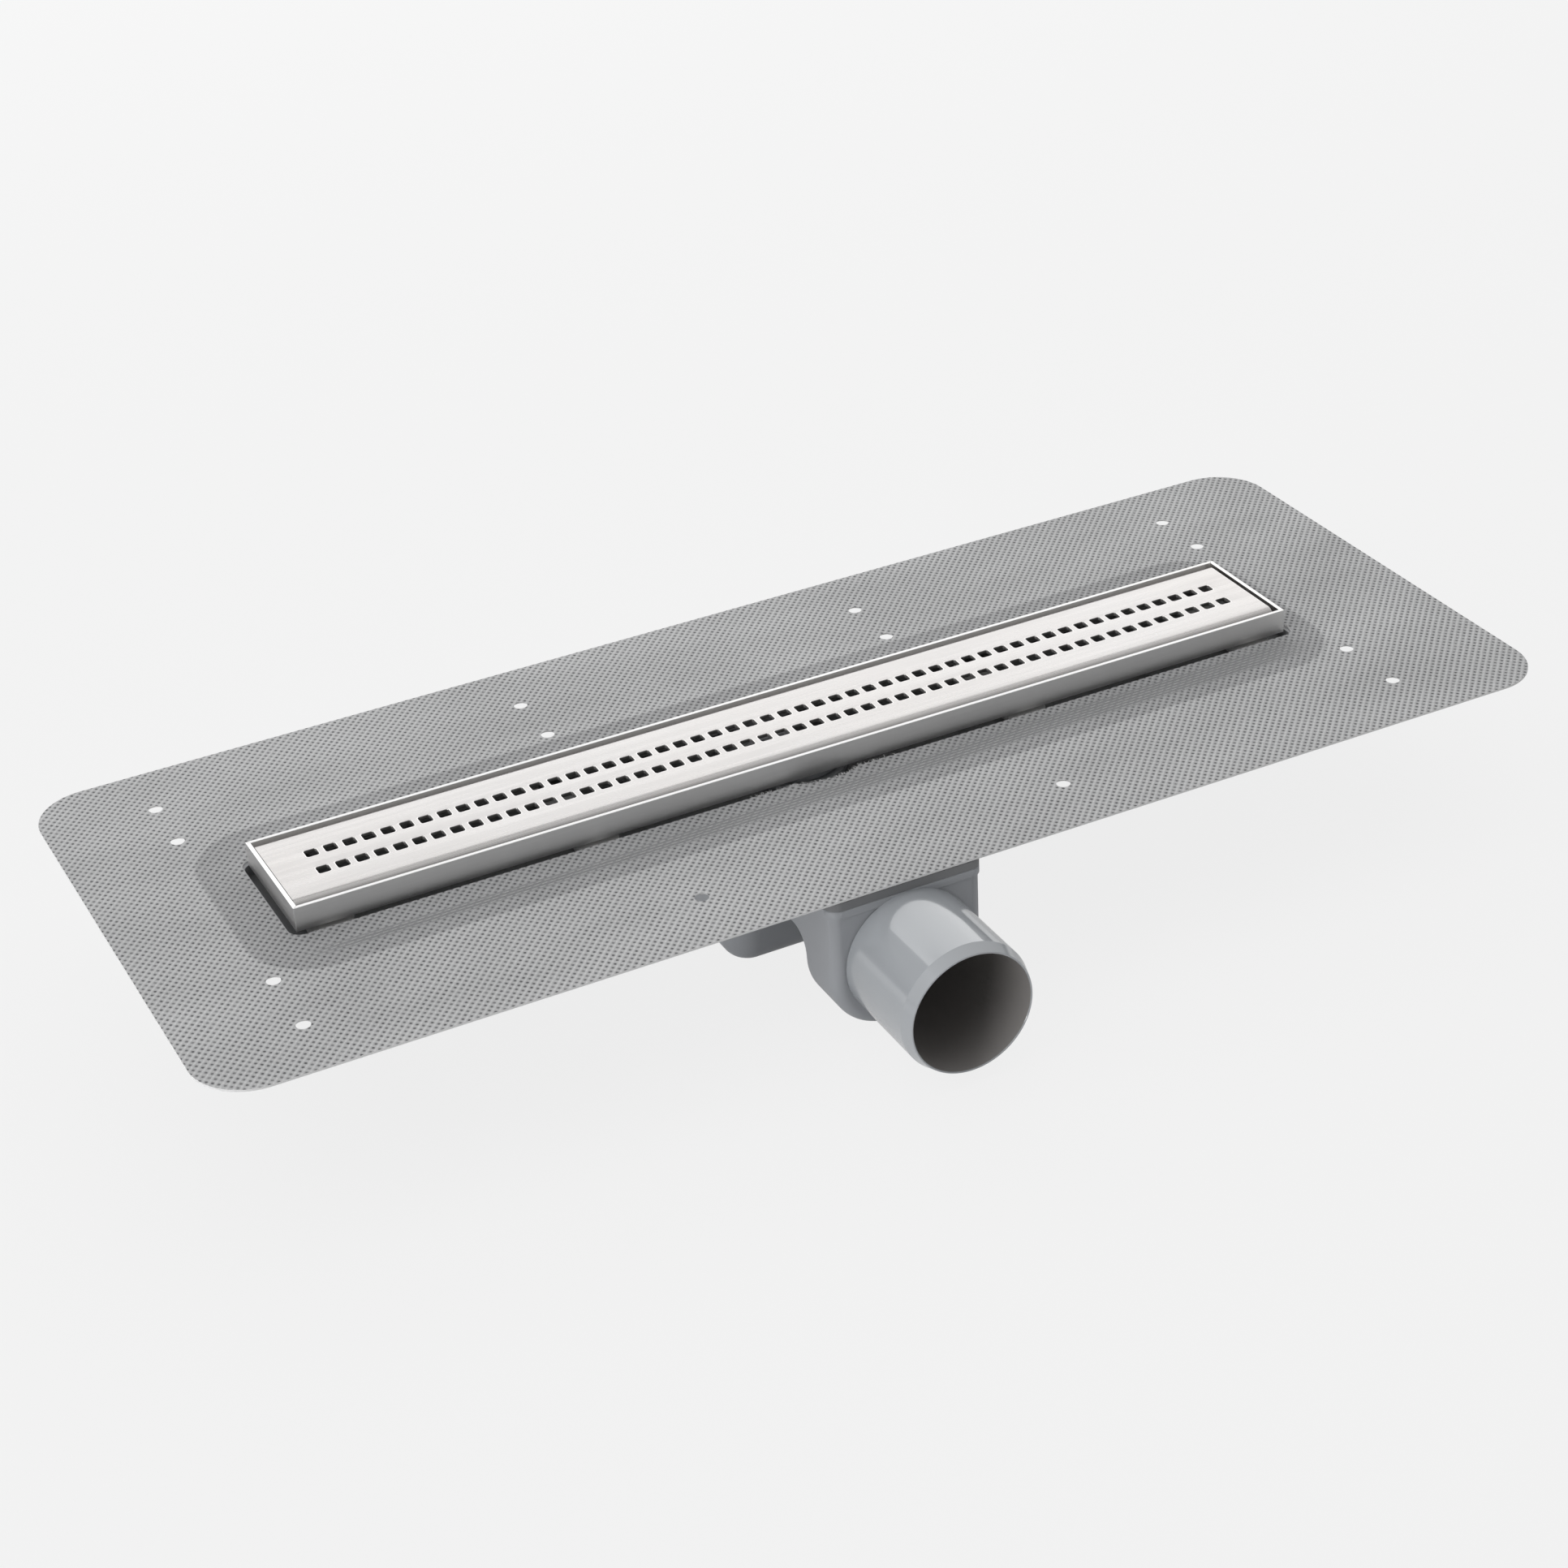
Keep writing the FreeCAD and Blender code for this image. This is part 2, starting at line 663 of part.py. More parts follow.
def levelling_screws():
    """Slotted grub screws, from the feet up through the ledge and the tabs."""
    screws = []
    high = tab_top + screw_proud
    half = screw_slot_width / 2
    for x, y, side in foot_places():
        slot = box(x - foot_radius, x + foot_radius, y - half, y + half,
                   high - screw_slot_depth, high + overcut)
        screws.append(cylinder(x, y, screw_radius, foot_top, high).cut(slot))
    return Part.makeCompound(screws)


def grate():
    """Folded cover: flat top, two bends and two short flanges, with square holes in rows."""
    half = grate_width / 2
    inner_radius = grate_bend_radius - grate_sheet
    x = grate_x - grate_length / 2
    centre_z = grate_top - grate_bend_radius
    diagonal = math.sqrt(0.5)

    def at(y, z):
        return Vector(x, grate_y + y, z)

    edges = []
    for side in (1, -1):
        bend_y = side * (half - grate_bend_radius)
        outer_y = side * half
        inner_y = side * (half - grate_sheet)
        outer_bend = grate_bend_radius * diagonal
        inner_bend = inner_radius * diagonal
        edges.append(arc(at(bend_y, grate_top), at(bend_y + side * outer_bend, centre_z + outer_bend),
                         at(outer_y, centre_z)))
        edges.append(line(at(outer_y, centre_z), at(outer_y, grate_flange_bottom)))
        edges.append(line(at(outer_y, grate_flange_bottom), at(inner_y, grate_flange_bottom)))
        edges.append(line(at(inner_y, grate_flange_bottom), at(inner_y, centre_z)))
        edges.append(arc(at(inner_y, centre_z), at(bend_y + side * inner_bend, centre_z + inner_bend),
                         at(bend_y, grate_underside)))
    reach = half - grate_bend_radius
    edges.append(line(at(-reach, grate_top), at(reach, grate_top)))
    edges.append(line(at(-reach, grate_underside), at(reach, grate_underside)))
    outline = Part.Wire(Part.__sortEdges__(edges))
    cover = Part.Face(outline).extrude(Vector(grate_length, 0, 0))
    punches = []
    for column in range(hole_columns):
        hole_x = hole_centre_x + (column - (hole_columns - 1) / 2) * hole_pitch
        for side in (1, -1):
            hole_y = grate_y + side * hole_row_spacing / 2
            punches.append(box(hole_x - hole_size / 2, hole_x + hole_size / 2,
                               hole_y - hole_size / 2, hole_y + hole_size / 2,
                               grate_underside - overcut, grate_top + overcut))
    return cover.cut(Part.makeCompound(punches))


def grate_spacers():
    """Bars welded across under the grate, between its columns of holes."""
    bars = []
    half = grate_width / 2 - grate_sheet
    flat = grate_width / 2 - grate_bend_radius
    bevel_z = grate_top - grate_bend_radius
    low = grate_underside - spacer_height
    outline = [(-flat, grate_underside), (flat, grate_underside), (half, bevel_z), (half, low), (-half, low),
               (-half, bevel_z)]
    for gap in spacer_gaps_from_end:
        offset = ((hole_columns - 1) / 2 - gap - 0.5) * hole_pitch
        for side in (1, -1):
            x = hole_centre_x + side * offset - spacer_width / 2
            points = [Vector(x, grate_y + y, z) for y, z in outline]
            bars.append(prism(points, Vector(spacer_width, 0, 0)))
    return Part.makeCompound(bars)


def grate_pads():
    pads = []
    outer = frame_width / 2 - frame_wall
    for foot_x in foot_columns:
        x = frame_shift_x + foot_x - math.copysign(pad_from_foot, foot_x)
        for side in (1, -1):
            ends = sorted((frame_shift_y + side * outer, frame_shift_y + side * (outer - pad_width)))
            pads.append(box(x - pad_length / 2, x + pad_length / 2, ends[0], ends[1],
                            ledge_top, grate_flange_bottom))
    return Part.makeCompound(pads)


def all_nodes():
    nodes = {"sealing_membrane": sealing_membrane(), "channel_body": channel_body(),
             "trap_housing": trap_housing(), "outlet_pipe": outlet_pipe(),
             "trap_insert": trap_insert(), "trap_seal": trap_seal(),
             "trap_bail": trap_bail(), "hair_strainer": hair_strainer(),
             "frame_tabs": frame_tabs(), "levelling_screws": levelling_screws(),
             "frame_feet": frame_feet(), "grate": grate(),
             "grate_spacers": grate_spacers(), "grate_pads": grate_pads()}
    nodes.update(frame_rails())
    return nodes


os.makedirs("parts", exist_ok=True)
for node_name, node_shape in all_nodes().items():
    node_shape.exportStep("parts/" + node_name + ".step")
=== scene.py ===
import math
import random

import bmesh
import bpy
from mathutils import Matrix, Vector, noise
from mathutils.geometry import delaunay_2d_cdt


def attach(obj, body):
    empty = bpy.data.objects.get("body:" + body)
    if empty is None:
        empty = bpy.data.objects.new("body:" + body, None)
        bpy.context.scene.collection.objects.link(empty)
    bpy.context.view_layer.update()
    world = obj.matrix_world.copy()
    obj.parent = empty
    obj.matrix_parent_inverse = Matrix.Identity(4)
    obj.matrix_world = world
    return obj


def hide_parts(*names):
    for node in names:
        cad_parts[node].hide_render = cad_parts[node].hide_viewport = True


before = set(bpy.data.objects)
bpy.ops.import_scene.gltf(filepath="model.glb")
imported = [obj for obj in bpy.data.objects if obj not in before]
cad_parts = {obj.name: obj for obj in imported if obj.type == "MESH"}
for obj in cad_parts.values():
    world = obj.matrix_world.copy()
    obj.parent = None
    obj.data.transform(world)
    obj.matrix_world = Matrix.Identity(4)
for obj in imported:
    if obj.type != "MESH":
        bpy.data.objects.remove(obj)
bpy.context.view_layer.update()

# A linear shower drain, seen from its front left and above. Lengths below are in millimetres and
# are turned into metres where a mesh is made.
MM = 0.001

# Camera
CAMERA_PLACE = (-443.85, -920.56, 650.80)
CAMERA_TARGET = (-15.47, -24.15, 60.0)
CAMERA_ROLL = 3.211
LENS = 73.61

# Levels and plan of the part, as in its source
DECK = 59.2
SHEET_TOP = 60.0
SHEET_CENTRE = (4.0, 2.4)
SHEET_SIZE = (526.0, 211.2)
SHEET_CORNER = 21.0
OPENING_SIZE = (407.2, 54.6)
OPENING_CORNER = 4.0
BULGE_RADIUS = 30.5
BULGE_BLEND = 10.0
CUT_MARGIN = 1.0
CUT_SHIFT = (0.8, 1.7)
FLANGE_SIZE = (434.0, 100.0)
FLANGE_SHIFT = -3.0
FLANGE_CORNER = 25.0
HOLE_RADIUS = 2.55
HOLE_FLARE = 0.6
HOLE_COLUMNS = (-218.0, -74.0, 70.0, 214.0)
HOLE_ROWS = (80.7, 55.0, -76.7)
FRONT_INNER_ROW = -47.6

# Grate, a sheet folded down along both long sides, with two rows of holes
GRATE_CENTRE = (-0.1, 2.4)
GRATE_SIZE = (398.4, 45.8)
GRATE_TOP = 68.5
GRATE_FOOT = 62.8
GRATE_SHEET = 1.5
GRATE_BEND = 4.0
GRATE_COLUMNS = 53
GRATE_PITCH = 7.12
HOLE_SHIFT = 2.0
GRATE_ROW = 6.15
HOLE_SIZE = 4.55
HOLE_CORNER = 0.6
HOLE_BREAK = 0.34

# Outlet pipe, with its lip as points (radius, along), and the channel's deck over it
PIPE_X = -8.4
PIPE_Z = 30.0
PIPE_RADIUS = 25.0
PIPE_BORE = 22.8
PIPE_NECK = 24.6
PIPE_LIP = ((22.8, -146.25), (22.9, -146.42), (23.05, -146.5), (23.3, -146.5), (23.45, -146.35))
PIPE_CHAMFER_END = -141.5
PIPE_NECK_END = -94.6
PIPE_SEGMENTS = 144
DECK_WIDTH = 60.6
DECK_FRONT = -103.0
DECK_CORNER = 4.8


def smooth(low, high, value):
    """Smooth step from 0 at low to 1 at high."""
    t = min(max((value - low) / (high - low), 0.0), 1.0)
    return t * t * (3 - 2 * t)


def grey(level):
    """An opaque neutral colour."""
    return (level, level, level, 1.0)


def map_range(tree, source, low, high, first, last):
    """Node that maps one range onto another, clamped at both ends."""
    made = tree.nodes.new("ShaderNodeMapRange")
    for key, value in (("From Min", low), ("From Max", high), ("To Min", first), ("To Max", last)):
        made.inputs[key].default_value = value
    tree.links.new(source, made.inputs["Value"])
    return made


# ---------------------------------------------------------------- node materials

PLASTIC_CLOUD = 0.06
WORN_EDGE = 0.18
STEEL_CLOUD = (1.0, 0.985, 0.97, 1.0)
FLEECE_LOW = (0.445, 0.448, 0.452, 1.0)
FLEECE_STRAND_HIGHLIGHT = (0.69, 0.692, 0.695, 1.0)
FLEECE_FUZZ = (0.56, 0.562, 0.566, 1.0)
FLEECE_PIT_SHADE = (0.14, 0.142, 0.147, 1.0)
# Painted shade: the sheet is darker over the channel's flange, round the frame.
FLEECE_FLANGE_SHADE = (0.75, 0.75, 0.755, 1.0)


class Nodes:
    """Builds one node material; the shader's constant values are set on its own sockets."""

    def __init__(self, name):
        self.material = bpy.data.materials.new(name)
        self.material.use_nodes = True
        self.tree = self.material.node_tree
        self.shader = self.tree.nodes["Principled BSDF"]
        self.output = self.tree.nodes["Material Output"]

    def node(self, kind, **settings):
        made = self.tree.nodes.new(kind)
        for key, value in settings.items():
            setattr(made, key, value)
        return made

    def link(self, source, target):
        self.tree.links.new(source, target)

    def value(self, target, thing):
        """Gives a socket a node's output or a plain value."""
        if hasattr(thing, "is_output"):
            self.link(thing, target)
        else:
            target.default_value = thing

    def math(self, operation, *values):
        made = self.node("ShaderNodeMath", operation=operation)
        for socket, thing in zip(made.inputs, values):
            self.value(socket, thing)
        return made.outputs[0]

    def weighted(self, first, first_share, second, second_share):
        """One value times its share plus another times its share."""
        return self.math("ADD", self.math("MULTIPLY", first, first_share),
                         self.math("MULTIPLY", second, second_share))

    def wave(self, turns):
        """Cosine of a value counted in whole turns."""
        return self.math("COSINE", self.math("MULTIPLY", turns, 2 * math.pi))

    def mix(self, factor, first, second, blend="MIX"):
        """Mix of two colours."""
        made = self.node("ShaderNodeMix", data_type="RGBA", blend_type=blend)
        self.value(made.inputs["Factor"], factor)
        self.value(made.inputs[6], first)
        self.value(made.inputs[7], second)
        return made.outputs[2]

    def blend(self, factor, first, second):
        """Mix of two numbers."""
        made = self.node("ShaderNodeMix", data_type="FLOAT")
        self.value(made.inputs[0], factor)
        self.value(made.inputs[2], first)
        self.value(made.inputs[3], second)
        return made.outputs[0]

    def place(self, scale=(1.0, 1.0, 1.0), turn=0.0):
        """Object coordinates, in metres, scaled and turned about the upright axis."""
        coordinates = self.node("ShaderNodeTexCoord")
        mapping = self.node("ShaderNodeMapping")
        mapping.inputs["Scale"].default_value = scale
        mapping.inputs["Rotation"].default_value = (0.0, 0.0, turn)
        self.link(coordinates.outputs["Object"], mapping.inputs["Vector"])
        return mapping.outputs["Vector"]

    def noise(self, vector, scale, detail=3.0, roughness=0.55):
        made = self.node("ShaderNodeTexNoise")
        for key, value in (("Scale", scale), ("Detail", detail), ("Roughness", roughness)):
            made.inputs[key].default_value = value
        self.link(vector, made.inputs["Vector"])
        return made.outputs["Fac"]

    def ramp(self, factor, low, high, first, last):
        """Linear map of one range onto another, clamped at both ends."""
        return map_range(self.tree, factor, low, high, first, last).outputs["Result"]

    def bump(self, height, strength, distance):
        """Relief of the surface, without geometry; its distance is in metres."""
        made = self.node("ShaderNodeBump")
        made.inputs["Strength"].default_value = strength
        made.inputs["Distance"].default_value = distance
        self.link(height, made.inputs["Height"])
        self.link(made.outputs["Normal"], self.shader.inputs["Normal"])

    def set(self, **values):
        """Constant values of the shader's sockets, by name."""
        for key, value in values.items():
            self.shader.inputs[key.replace("_", " ")].default_value = value
        return self

    def feed(self, **sources):
        """Node outputs that go to the shader's sockets, by name."""
        for key, source in sources.items():
            self.link(source, self.shader.inputs[key.replace("_", " ")])


def moulded_plastic(name, colour, roughness, edge=WORN_EDGE):
    """Moulded plastic: faint cloudy tone, paler worn edges and a fine satin grain."""
    made = Nodes(name).set(Roughness=roughness, IOR=1.49)
    flow = made.noise(made.place(), 22.0, 4.0)
    fine = made.noise(made.place(), 1800.0, 2.0)
    dark = tuple(c * (1 - PLASTIC_CLOUD) for c in colour) + (1.0,)
    light = tuple(min(c * (1 + PLASTIC_CLOUD), 1.0) for c in colour) + (1.0,)
    tone = made.mix(made.ramp(flow, 0.3, 0.7, 0.0, 1.0), dark, light)
    geometry = made.node("ShaderNodeNewGeometry")
    worn = made.ramp(geometry.outputs["Pointiness"], 0.52, 0.62, 0.0, edge)
    pale = tuple(min(c * 1.6 + 0.03, 1.0) for c in colour) + (1.0,)
    made.feed(Base_Color=made.mix(worn, tone, pale),
              Roughness=made.ramp(flow, 0.25, 0.75, roughness - 0.05, roughness + 0.06))
    made.bump(fine, 0.12, 0.0001)
    return made.material


def brushed_steel(name, colour, along, roughness, depth, top_shade=1.0):
    """Stainless steel with brush lines along one axis, in two widths, and cloudy polish.

    Its upward faces can be darker than its sides, a painted shade."""
    made = Nodes(name).set(Metallic=1.0, Anisotropic=0.8)
    across = made.node("ShaderNodeCombineXYZ")
    across.inputs[1 if along == "x" else 0].default_value = 1.0
    across.inputs[2].default_value = 1.0

    def streaks(lengthwise, crosswise):
        plan = (lengthwise, crosswise) if along == "x" else (crosswise, lengthwise)
        return made.place(plan + (crosswise,))

    broad = made.noise(streaks(7.0, 420.0), 1.0, 3.0)
    lines = made.noise(streaks(22.0, 2600.0), 1.0, 3.0, 0.7)
    both = made.weighted(broad, 0.45, lines, 0.55)
    dark = tuple(c * 0.93 for c in colour) + (1.0,)
    tone = made.mix(made.ramp(both, 0.32, 0.68, 0.0, 1.0), dark, colour + (1.0,))
    cloud = made.ramp(made.noise(made.place(), 9.0, 3.0), 0.4, 0.7, 0.0, 0.6)
    clouded = made.mix(cloud, tone, STEEL_CLOUD, "MULTIPLY")
    geometry = made.node("ShaderNodeNewGeometry")
    split = made.node("ShaderNodeSeparateXYZ")
    made.link(geometry.outputs["Normal"], split.inputs[0])
    # Upward faces get a darker colour: painted shade.
    facing_up = made.ramp(split.outputs[2], 0.6, 0.9, 0.0, 1.0)
    made.feed(Tangent=across.outputs[0],
              Base_Color=made.mix(facing_up, clouded, grey(top_shade), "MULTIPLY"),
              Roughness=made.ramp(both, 0.3, 0.7, roughness - 0.06, roughness + 0.08))
    made.bump(both, depth, 0.00004)
    return made.material


def weave_material(name):
    """Grey fleece pressed into a small diagonal basket weave: a real pattern, with painted shade in
    the dark pits at its crossings and painted highlights on its pale strands.

    The weave attribute holds two lattice coordinates and the depth of the long pressed band."""
    made = Nodes(name).set(Roughness=0.82, IOR=1.45, Specular_IOR_Level=0.25)
    made.set(Sheen_Weight=0.15, Sheen_Roughness=0.5)
    weave = made.node("ShaderNodeAttribute", attribute_name="weave")
    flange_shade = made.node("ShaderNodeAttribute", attribute_name="flange_shade")
    split = made.node("ShaderNodeSeparateXYZ")
    made.link(weave.outputs["Vector"], split.inputs[0])
    across, along, band = split.outputs
    shift = made.ramp(made.noise(made.place(), 260.0, 2.0), 0.0, 1.0, -0.09, 0.09)
    across = made.math("ADD", across, shift)
    along = made.math("SUBTRACT", along, shift)
    first = made.wave(across)
    second = made.wave(along)
    crossing = made.weighted(first, 0.5, second, 0.5)
    worn = made.ramp(made.noise(made.place(), 330.0, 1.0), 0.3, 0.6, 0.55, 1.0)
    # The pits are painted shade and the strands painted highlights, laid over the weave's own
    # pattern.
    pit = made.math("MULTIPLY", made.ramp(crossing, 0.46, 0.82, 0.0, 1.0), worn)
    strands = made.weighted(made.ramp(first, -1.0, 0.35, 1.0, 0.0), 0.4,
                            made.ramp(second, -1.0, 0.35, 1.0, 0.0), 0.6)
    lines = made.wave(made.math("SUBTRACT", across, along))
    dashes = made.math("MULTIPLY", made.ramp(lines, -0.1, 0.8, 0.0, 1.35),
                       made.ramp(crossing, 0.1, 0.9, 1.0, 0.1))
    grooves = made.math("MULTIPLY", made.math("SUBTRACT", 1.0, dashes), 0.3)
    strands = made.blend(band, strands, dashes)
    pit = made.blend(band, pit, grooves)
    fibre = made.noise(made.place((900.0, 900.0, 900.0)), 1.0, 4.0, 0.7)
    base = made.mix(strands, FLEECE_LOW, FLEECE_STRAND_HIGHLIGHT)
    fuzz = made.mix(made.ramp(fibre, 0.3, 0.7, 0.0, 0.45), base, FLEECE_FUZZ)
    pitted = made.mix(pit, fuzz, FLEECE_PIT_SHADE)
    cloud = made.noise(made.place((1.0, 2.2, 1.0), 0.5), 14.0, 3.0)
    tint = made.mix(made.ramp(cloud, 0.3, 0.7, 0.0, 1.0), grey(0.91), grey(1.07))
    clouded = made.mix(1.0, pitted, tint, "MULTIPLY")
    # Over the flange, round the frame, the sheet is darkened: painted shade.
    made.feed(Base_Color=made.mix(flange_shade.outputs["Fac"], clouded, FLEECE_FLANGE_SHADE, "MULTIPLY"))
    height = made.math("ADD", made.weighted(strands, 0.7, pit, -0.9),
                       made.math("MULTIPLY", fibre, 0.22))
    made.bump(height, 0.9, 0.00035)
    return made.material


def cut_material(name, low, high):
    """The pale, slightly fibrous cut through the sheet, between two grey levels."""
    made = Nodes(name).set(Roughness=0.85)
    fibre = made.noise(made.place(), 1500.0, 3.0)
    made.feed(Base_Color=made.mix(fibre, grey(low), grey(high)))
    made.bump(fibre, 0.5, 0.0002)
    return made.material


# ---------------------------------------------------------------- mesh helpers

def new_object(name, mesh, materials):
    """A new piece of the part, with its materials, hung under the root body."""
    thing = bpy.data.objects.new(name, mesh)
    bpy.context.scene.collection.objects.link(thing)
    for material in materials:
        mesh.materials.append(material)
    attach(thing, "root")
    return thing


def shade(mesh, angle):
    """Smooth shading with creases at sharp edges."""
    for face in mesh.polygons:
        face.use_smooth = True
    mesh.set_sharp_from_angle(angle=math.radians(angle))


def arc_points(centre, radius, start, end, step):
    """Points on an arc, both ends included, in degrees."""
    count = max(2, int(math.ceil(abs(end - start) * math.pi / 180 * radius / step)))
    points = []
    for index in range(count + 1):
        angle = math.radians(start + (end - start) * index / count)
        points.append((centre[0] + radius * math.cos(angle), centre[1] + radius * math.sin(angle)))
    return points


def thin_out(points, gap):
    """Drops points that nearly repeat the one before, around a closed loop."""
    kept = []
    for point in points:
        if not kept or math.dist(point, kept[-1]) > gap:
            kept.append(point)
    while math.dist(kept[0], kept[-1]) <= gap:
        kept.pop()
    return kept


def divided(points, step):
    """The closed loop with its long runs divided."""
    loop = []
    for index, point in enumerate(points):
        after = points[(index + 1) % len(points)]
        count = max(1, int(round(math.dist(point, after) / step)))
        for part in range(count):
            t = part / count
            loop.append((point[0] + (after[0] - point[0]) * t,
                         point[1] + (after[1] - point[1]) * t))
    return loop


def rounded_loop(cx, cy, length, width, radius, step):
    """A closed rectangle with rounded corners."""
    x = length / 2 - radius
    y = width / 2 - radius
    points = []
    for start, dx, dy in ((0, x, y), (90, -x, y), (180, -x, -y), (270, x, -y)):
        points += arc_points((cx + dx, cy + dy), radius, start, start + 90, step)
    return thin_out(points, 0.01)


def opening_loop(margin, shift_x, shift_y, step):
    """The channel's opening, grown by a margin: a slot with a blended bulge on both long sides."""
    half_x = OPENING_SIZE[0] / 2 + margin
    half_y = OPENING_SIZE[1] / 2 + margin
    corner = OPENING_CORNER + margin
    bulge = BULGE_RADIUS + margin
    blend = BULGE_BLEND - margin
    blend_x = math.sqrt((bulge + blend) ** 2 - (half_y + blend) ** 2)
    turn = math.degrees(math.atan2(half_y + blend, blend_x))
    points = []
    for side, start in ((1, 0.0), (-1, 180.0)):
        def at(x, y):
            return (shift_x + side * x, shift_y + side * y)

        for centre, radius, first, last in (
                (at(half_x - corner, half_y - corner), corner, 0, 90),
                (at(blend_x, half_y + blend), blend, -90, turn - 180),
                (at(0, 0), bulge, turn, 180 - turn),
                (at(-blend_x, half_y + blend), blend, -turn, -90),
                (at(corner - half_x, half_y - corner), corner, 90, 180)):
            points += arc_points(centre, radius, start + first, start + last, step)
    return thin_out(points, 0.01)


def inside(loop, x, y):
    """Whether a point lies in a closed loop."""
    hit = False
    for index, (x0, y0) in enumerate(loop):
        x1, y1 = loop[index - 1]
        if (y0 > y) != (y1 > y) and x < (x1 - x0) * (y - y0) / (y1 - y0) + x0:
            hit = not hit
    return hit


def loop_distance(loop, x, y):
    """Distance from a point to a closed loop."""
    best = 1e9
    for index, (x0, y0) in enumerate(loop):
        x1, y1 = loop[index - 1]
        dx, dy = x1 - x0, y1 - y0
        t = min(max(((x - x0) * dx + (y - y0) * dy) / (dx * dx + dy * dy), 0.0), 1.0)
        best = min(best, math.hypot(x - x0 - t * dx, y - y0 - t * dy))
    return best


def rounded_distance(x, y, cx, cy, length, width, radius):
    """Signed distance to a rounded rectangle, negative inside."""
    dx = abs(x - cx) - length / 2 + radius
    dy = abs(y - cy) - width / 2 + radius
    return math.hypot(max(dx, 0), max(dy, 0)) + min(max(dx, dy), 0) - radius


def triangulate(loops, points):
    """Triangles that fill the first loop outside the others. Gives corners and triangles."""
    corners = []
    faces = []
    for loop in loops:
        faces.append(list(range(len(corners), len(corners) + len(loop))))
        corners += loop
    corners += points
    result = delaunay_2d_cdt([Vector(p) for p in corners], [], faces, 0, 1e-5)
    kept = [tuple(face) for face, origin in zip(result[2], result[5]) if origin == [0]]
    return [tuple(v) for v in result[0]], kept


def boundary(triangles):
    """Directed edges that only one triangle has."""
    edges = {}
    for a, b, c in triangles:
        for pair in ((a, b), (b, c), (c, a)):
            edges[pair] = True
    return [pair for pair in edges if (pair[1], pair[0]) not in edges]


def lathe(profile, segments, place):
    """Closed solid of revolution, from points (radius, along) that place puts into space."""
    count = len(profile)
    verts = []
    for step in range(segments):
        angle = 2 * math.pi * step / segments
        for radius, along in profile:
            verts.append(place(radius * math.cos(angle), radius * math.sin(angle), along))
    faces = []
    for step in range(segments):
        after = (step + 1) % segments
        for index in range(count):
            other = (index + 1) % count
            faces.append((step * count + index, step * count + other,
                          after * count + other, after * count + index))
    mesh = bpy.data.meshes.new("lathe")
    mesh.from_pydata(verts, [], faces)
    tidy(mesh)
    return mesh


def tidy(mesh):
    """Outward faces on a closed mesh."""
    work = bmesh.new()
    work.from_mesh(mesh)
    bmesh.ops.remove_doubles(work, verts=work.verts, dist=1e-7)
    bmesh.ops.recalc_face_normals(work, faces=work.faces)
    work.to_mesh(mesh)
    work.free()


# ---------------------------------------------------------------- sealing membrane

WEAVE_X = 3.1
WEAVE_Y = 3.32

# The long pressed band runs nearly along the channel and widens a little to the right
BAND_Y = -38.4
BAND_TILT = 0.0106
BAND_HALF = 4.6
BAND_WIDEN = 0.009
BAND_LEFT = (-214.0, -180.0)
BAND_RIGHT = (180.0, 213.0)

# Relief of the laid sheet: its drop off the flange, and its swell, fine swell and ripple
SHEET_DROP = 0.16
SWELL = 0.42
FINE_SWELL = 0.16
RIPPLE = 0.12

# Division of the sheet, how far its lattice stays from edges that have points of their own, and
# the half lengths of the area round the cut-out where that is looked at
SHEET_STEP = 2.6
EDGE_CLEAR = 1.4
FLANGE_FOLD = 0.7
FLANGE_CLEAR = 1.6
CUT_CLEAR = 1.3
HOLE_CLEAR = 1.2
CUT_REACH = (206.0, 35.0)

# The freehand part of the cut, at the bulge, and its loose fibres
CUT_WANDER = 0.16
FREEHAND_REACH = (26.0, 44.0)
FIBRE_TRIES = 170
FIBRE_MIDDLE = -6.0
FIBRE_SCATTER = 17.0
FIBRE_LIMIT = 30.0
FIBRE_RINGS = 5
FIBRE_SIDES = 3


def flange_gap(x, y):
    """Signed distance to the channel's flange, which carries the sheet."""
    return rounded_distance(x, y, FLANGE_SHIFT, 0.0, *FLANGE_SIZE, FLANGE_CORNER)


def sheet_gap(x, y):
    """Signed distance to the sheet's outline."""
    return rounded_distance(x, y, *SHEET_CENTRE, *SHEET_SIZE, SHEET_CORNER)


def deck_gap(x, y):
    """Signed distance to the channel's deck over the outlet, which the sheet also lies on."""
    return rounded_distance(x, y, PIPE_X, DECK_FRONT / 2, DECK_WIDTH, -DECK_FRONT, DECK_CORNER)


def sheet_relief(x, y):
    """Height of the laid sheet over its flat level: flat on the flange, a soft dip around it."""
    gap = min(flange_gap(x, y), deck_gap(x, y) + 1.5)
    free = smooth(2.0, 26.0, gap) * smooth(0.0, 22.0, -sheet_gap(x, y))
    low = -SHEET_DROP * smooth(-0.5, 2.5, gap)
    swell = noise.noise(Vector((x * 0.011, y * 0.017, 0.3)))
    fine = noise.noise(Vector((x * 0.030 + 4.0, y * 0.021, 2.3)))
    ripple = math.sin(x * 0.055 + y * 0.032 + 1.8 * swell)
    return low + free * (SWELL * swell + FINE_SWELL * fine + RIPPLE * ripple)


def pressed(x, y):
    """How far a point lies inside the long pressed band, from 0 to 1."""
    reach = smooth(*BAND_LEFT, x) * (1 - smooth(*BAND_RIGHT, x))
    across = abs(y - BAND_Y - BAND_TILT * x) / (BAND_HALF + BAND_WIDEN * x)
    return reach * (1 - smooth(0.75, 1.1, across))


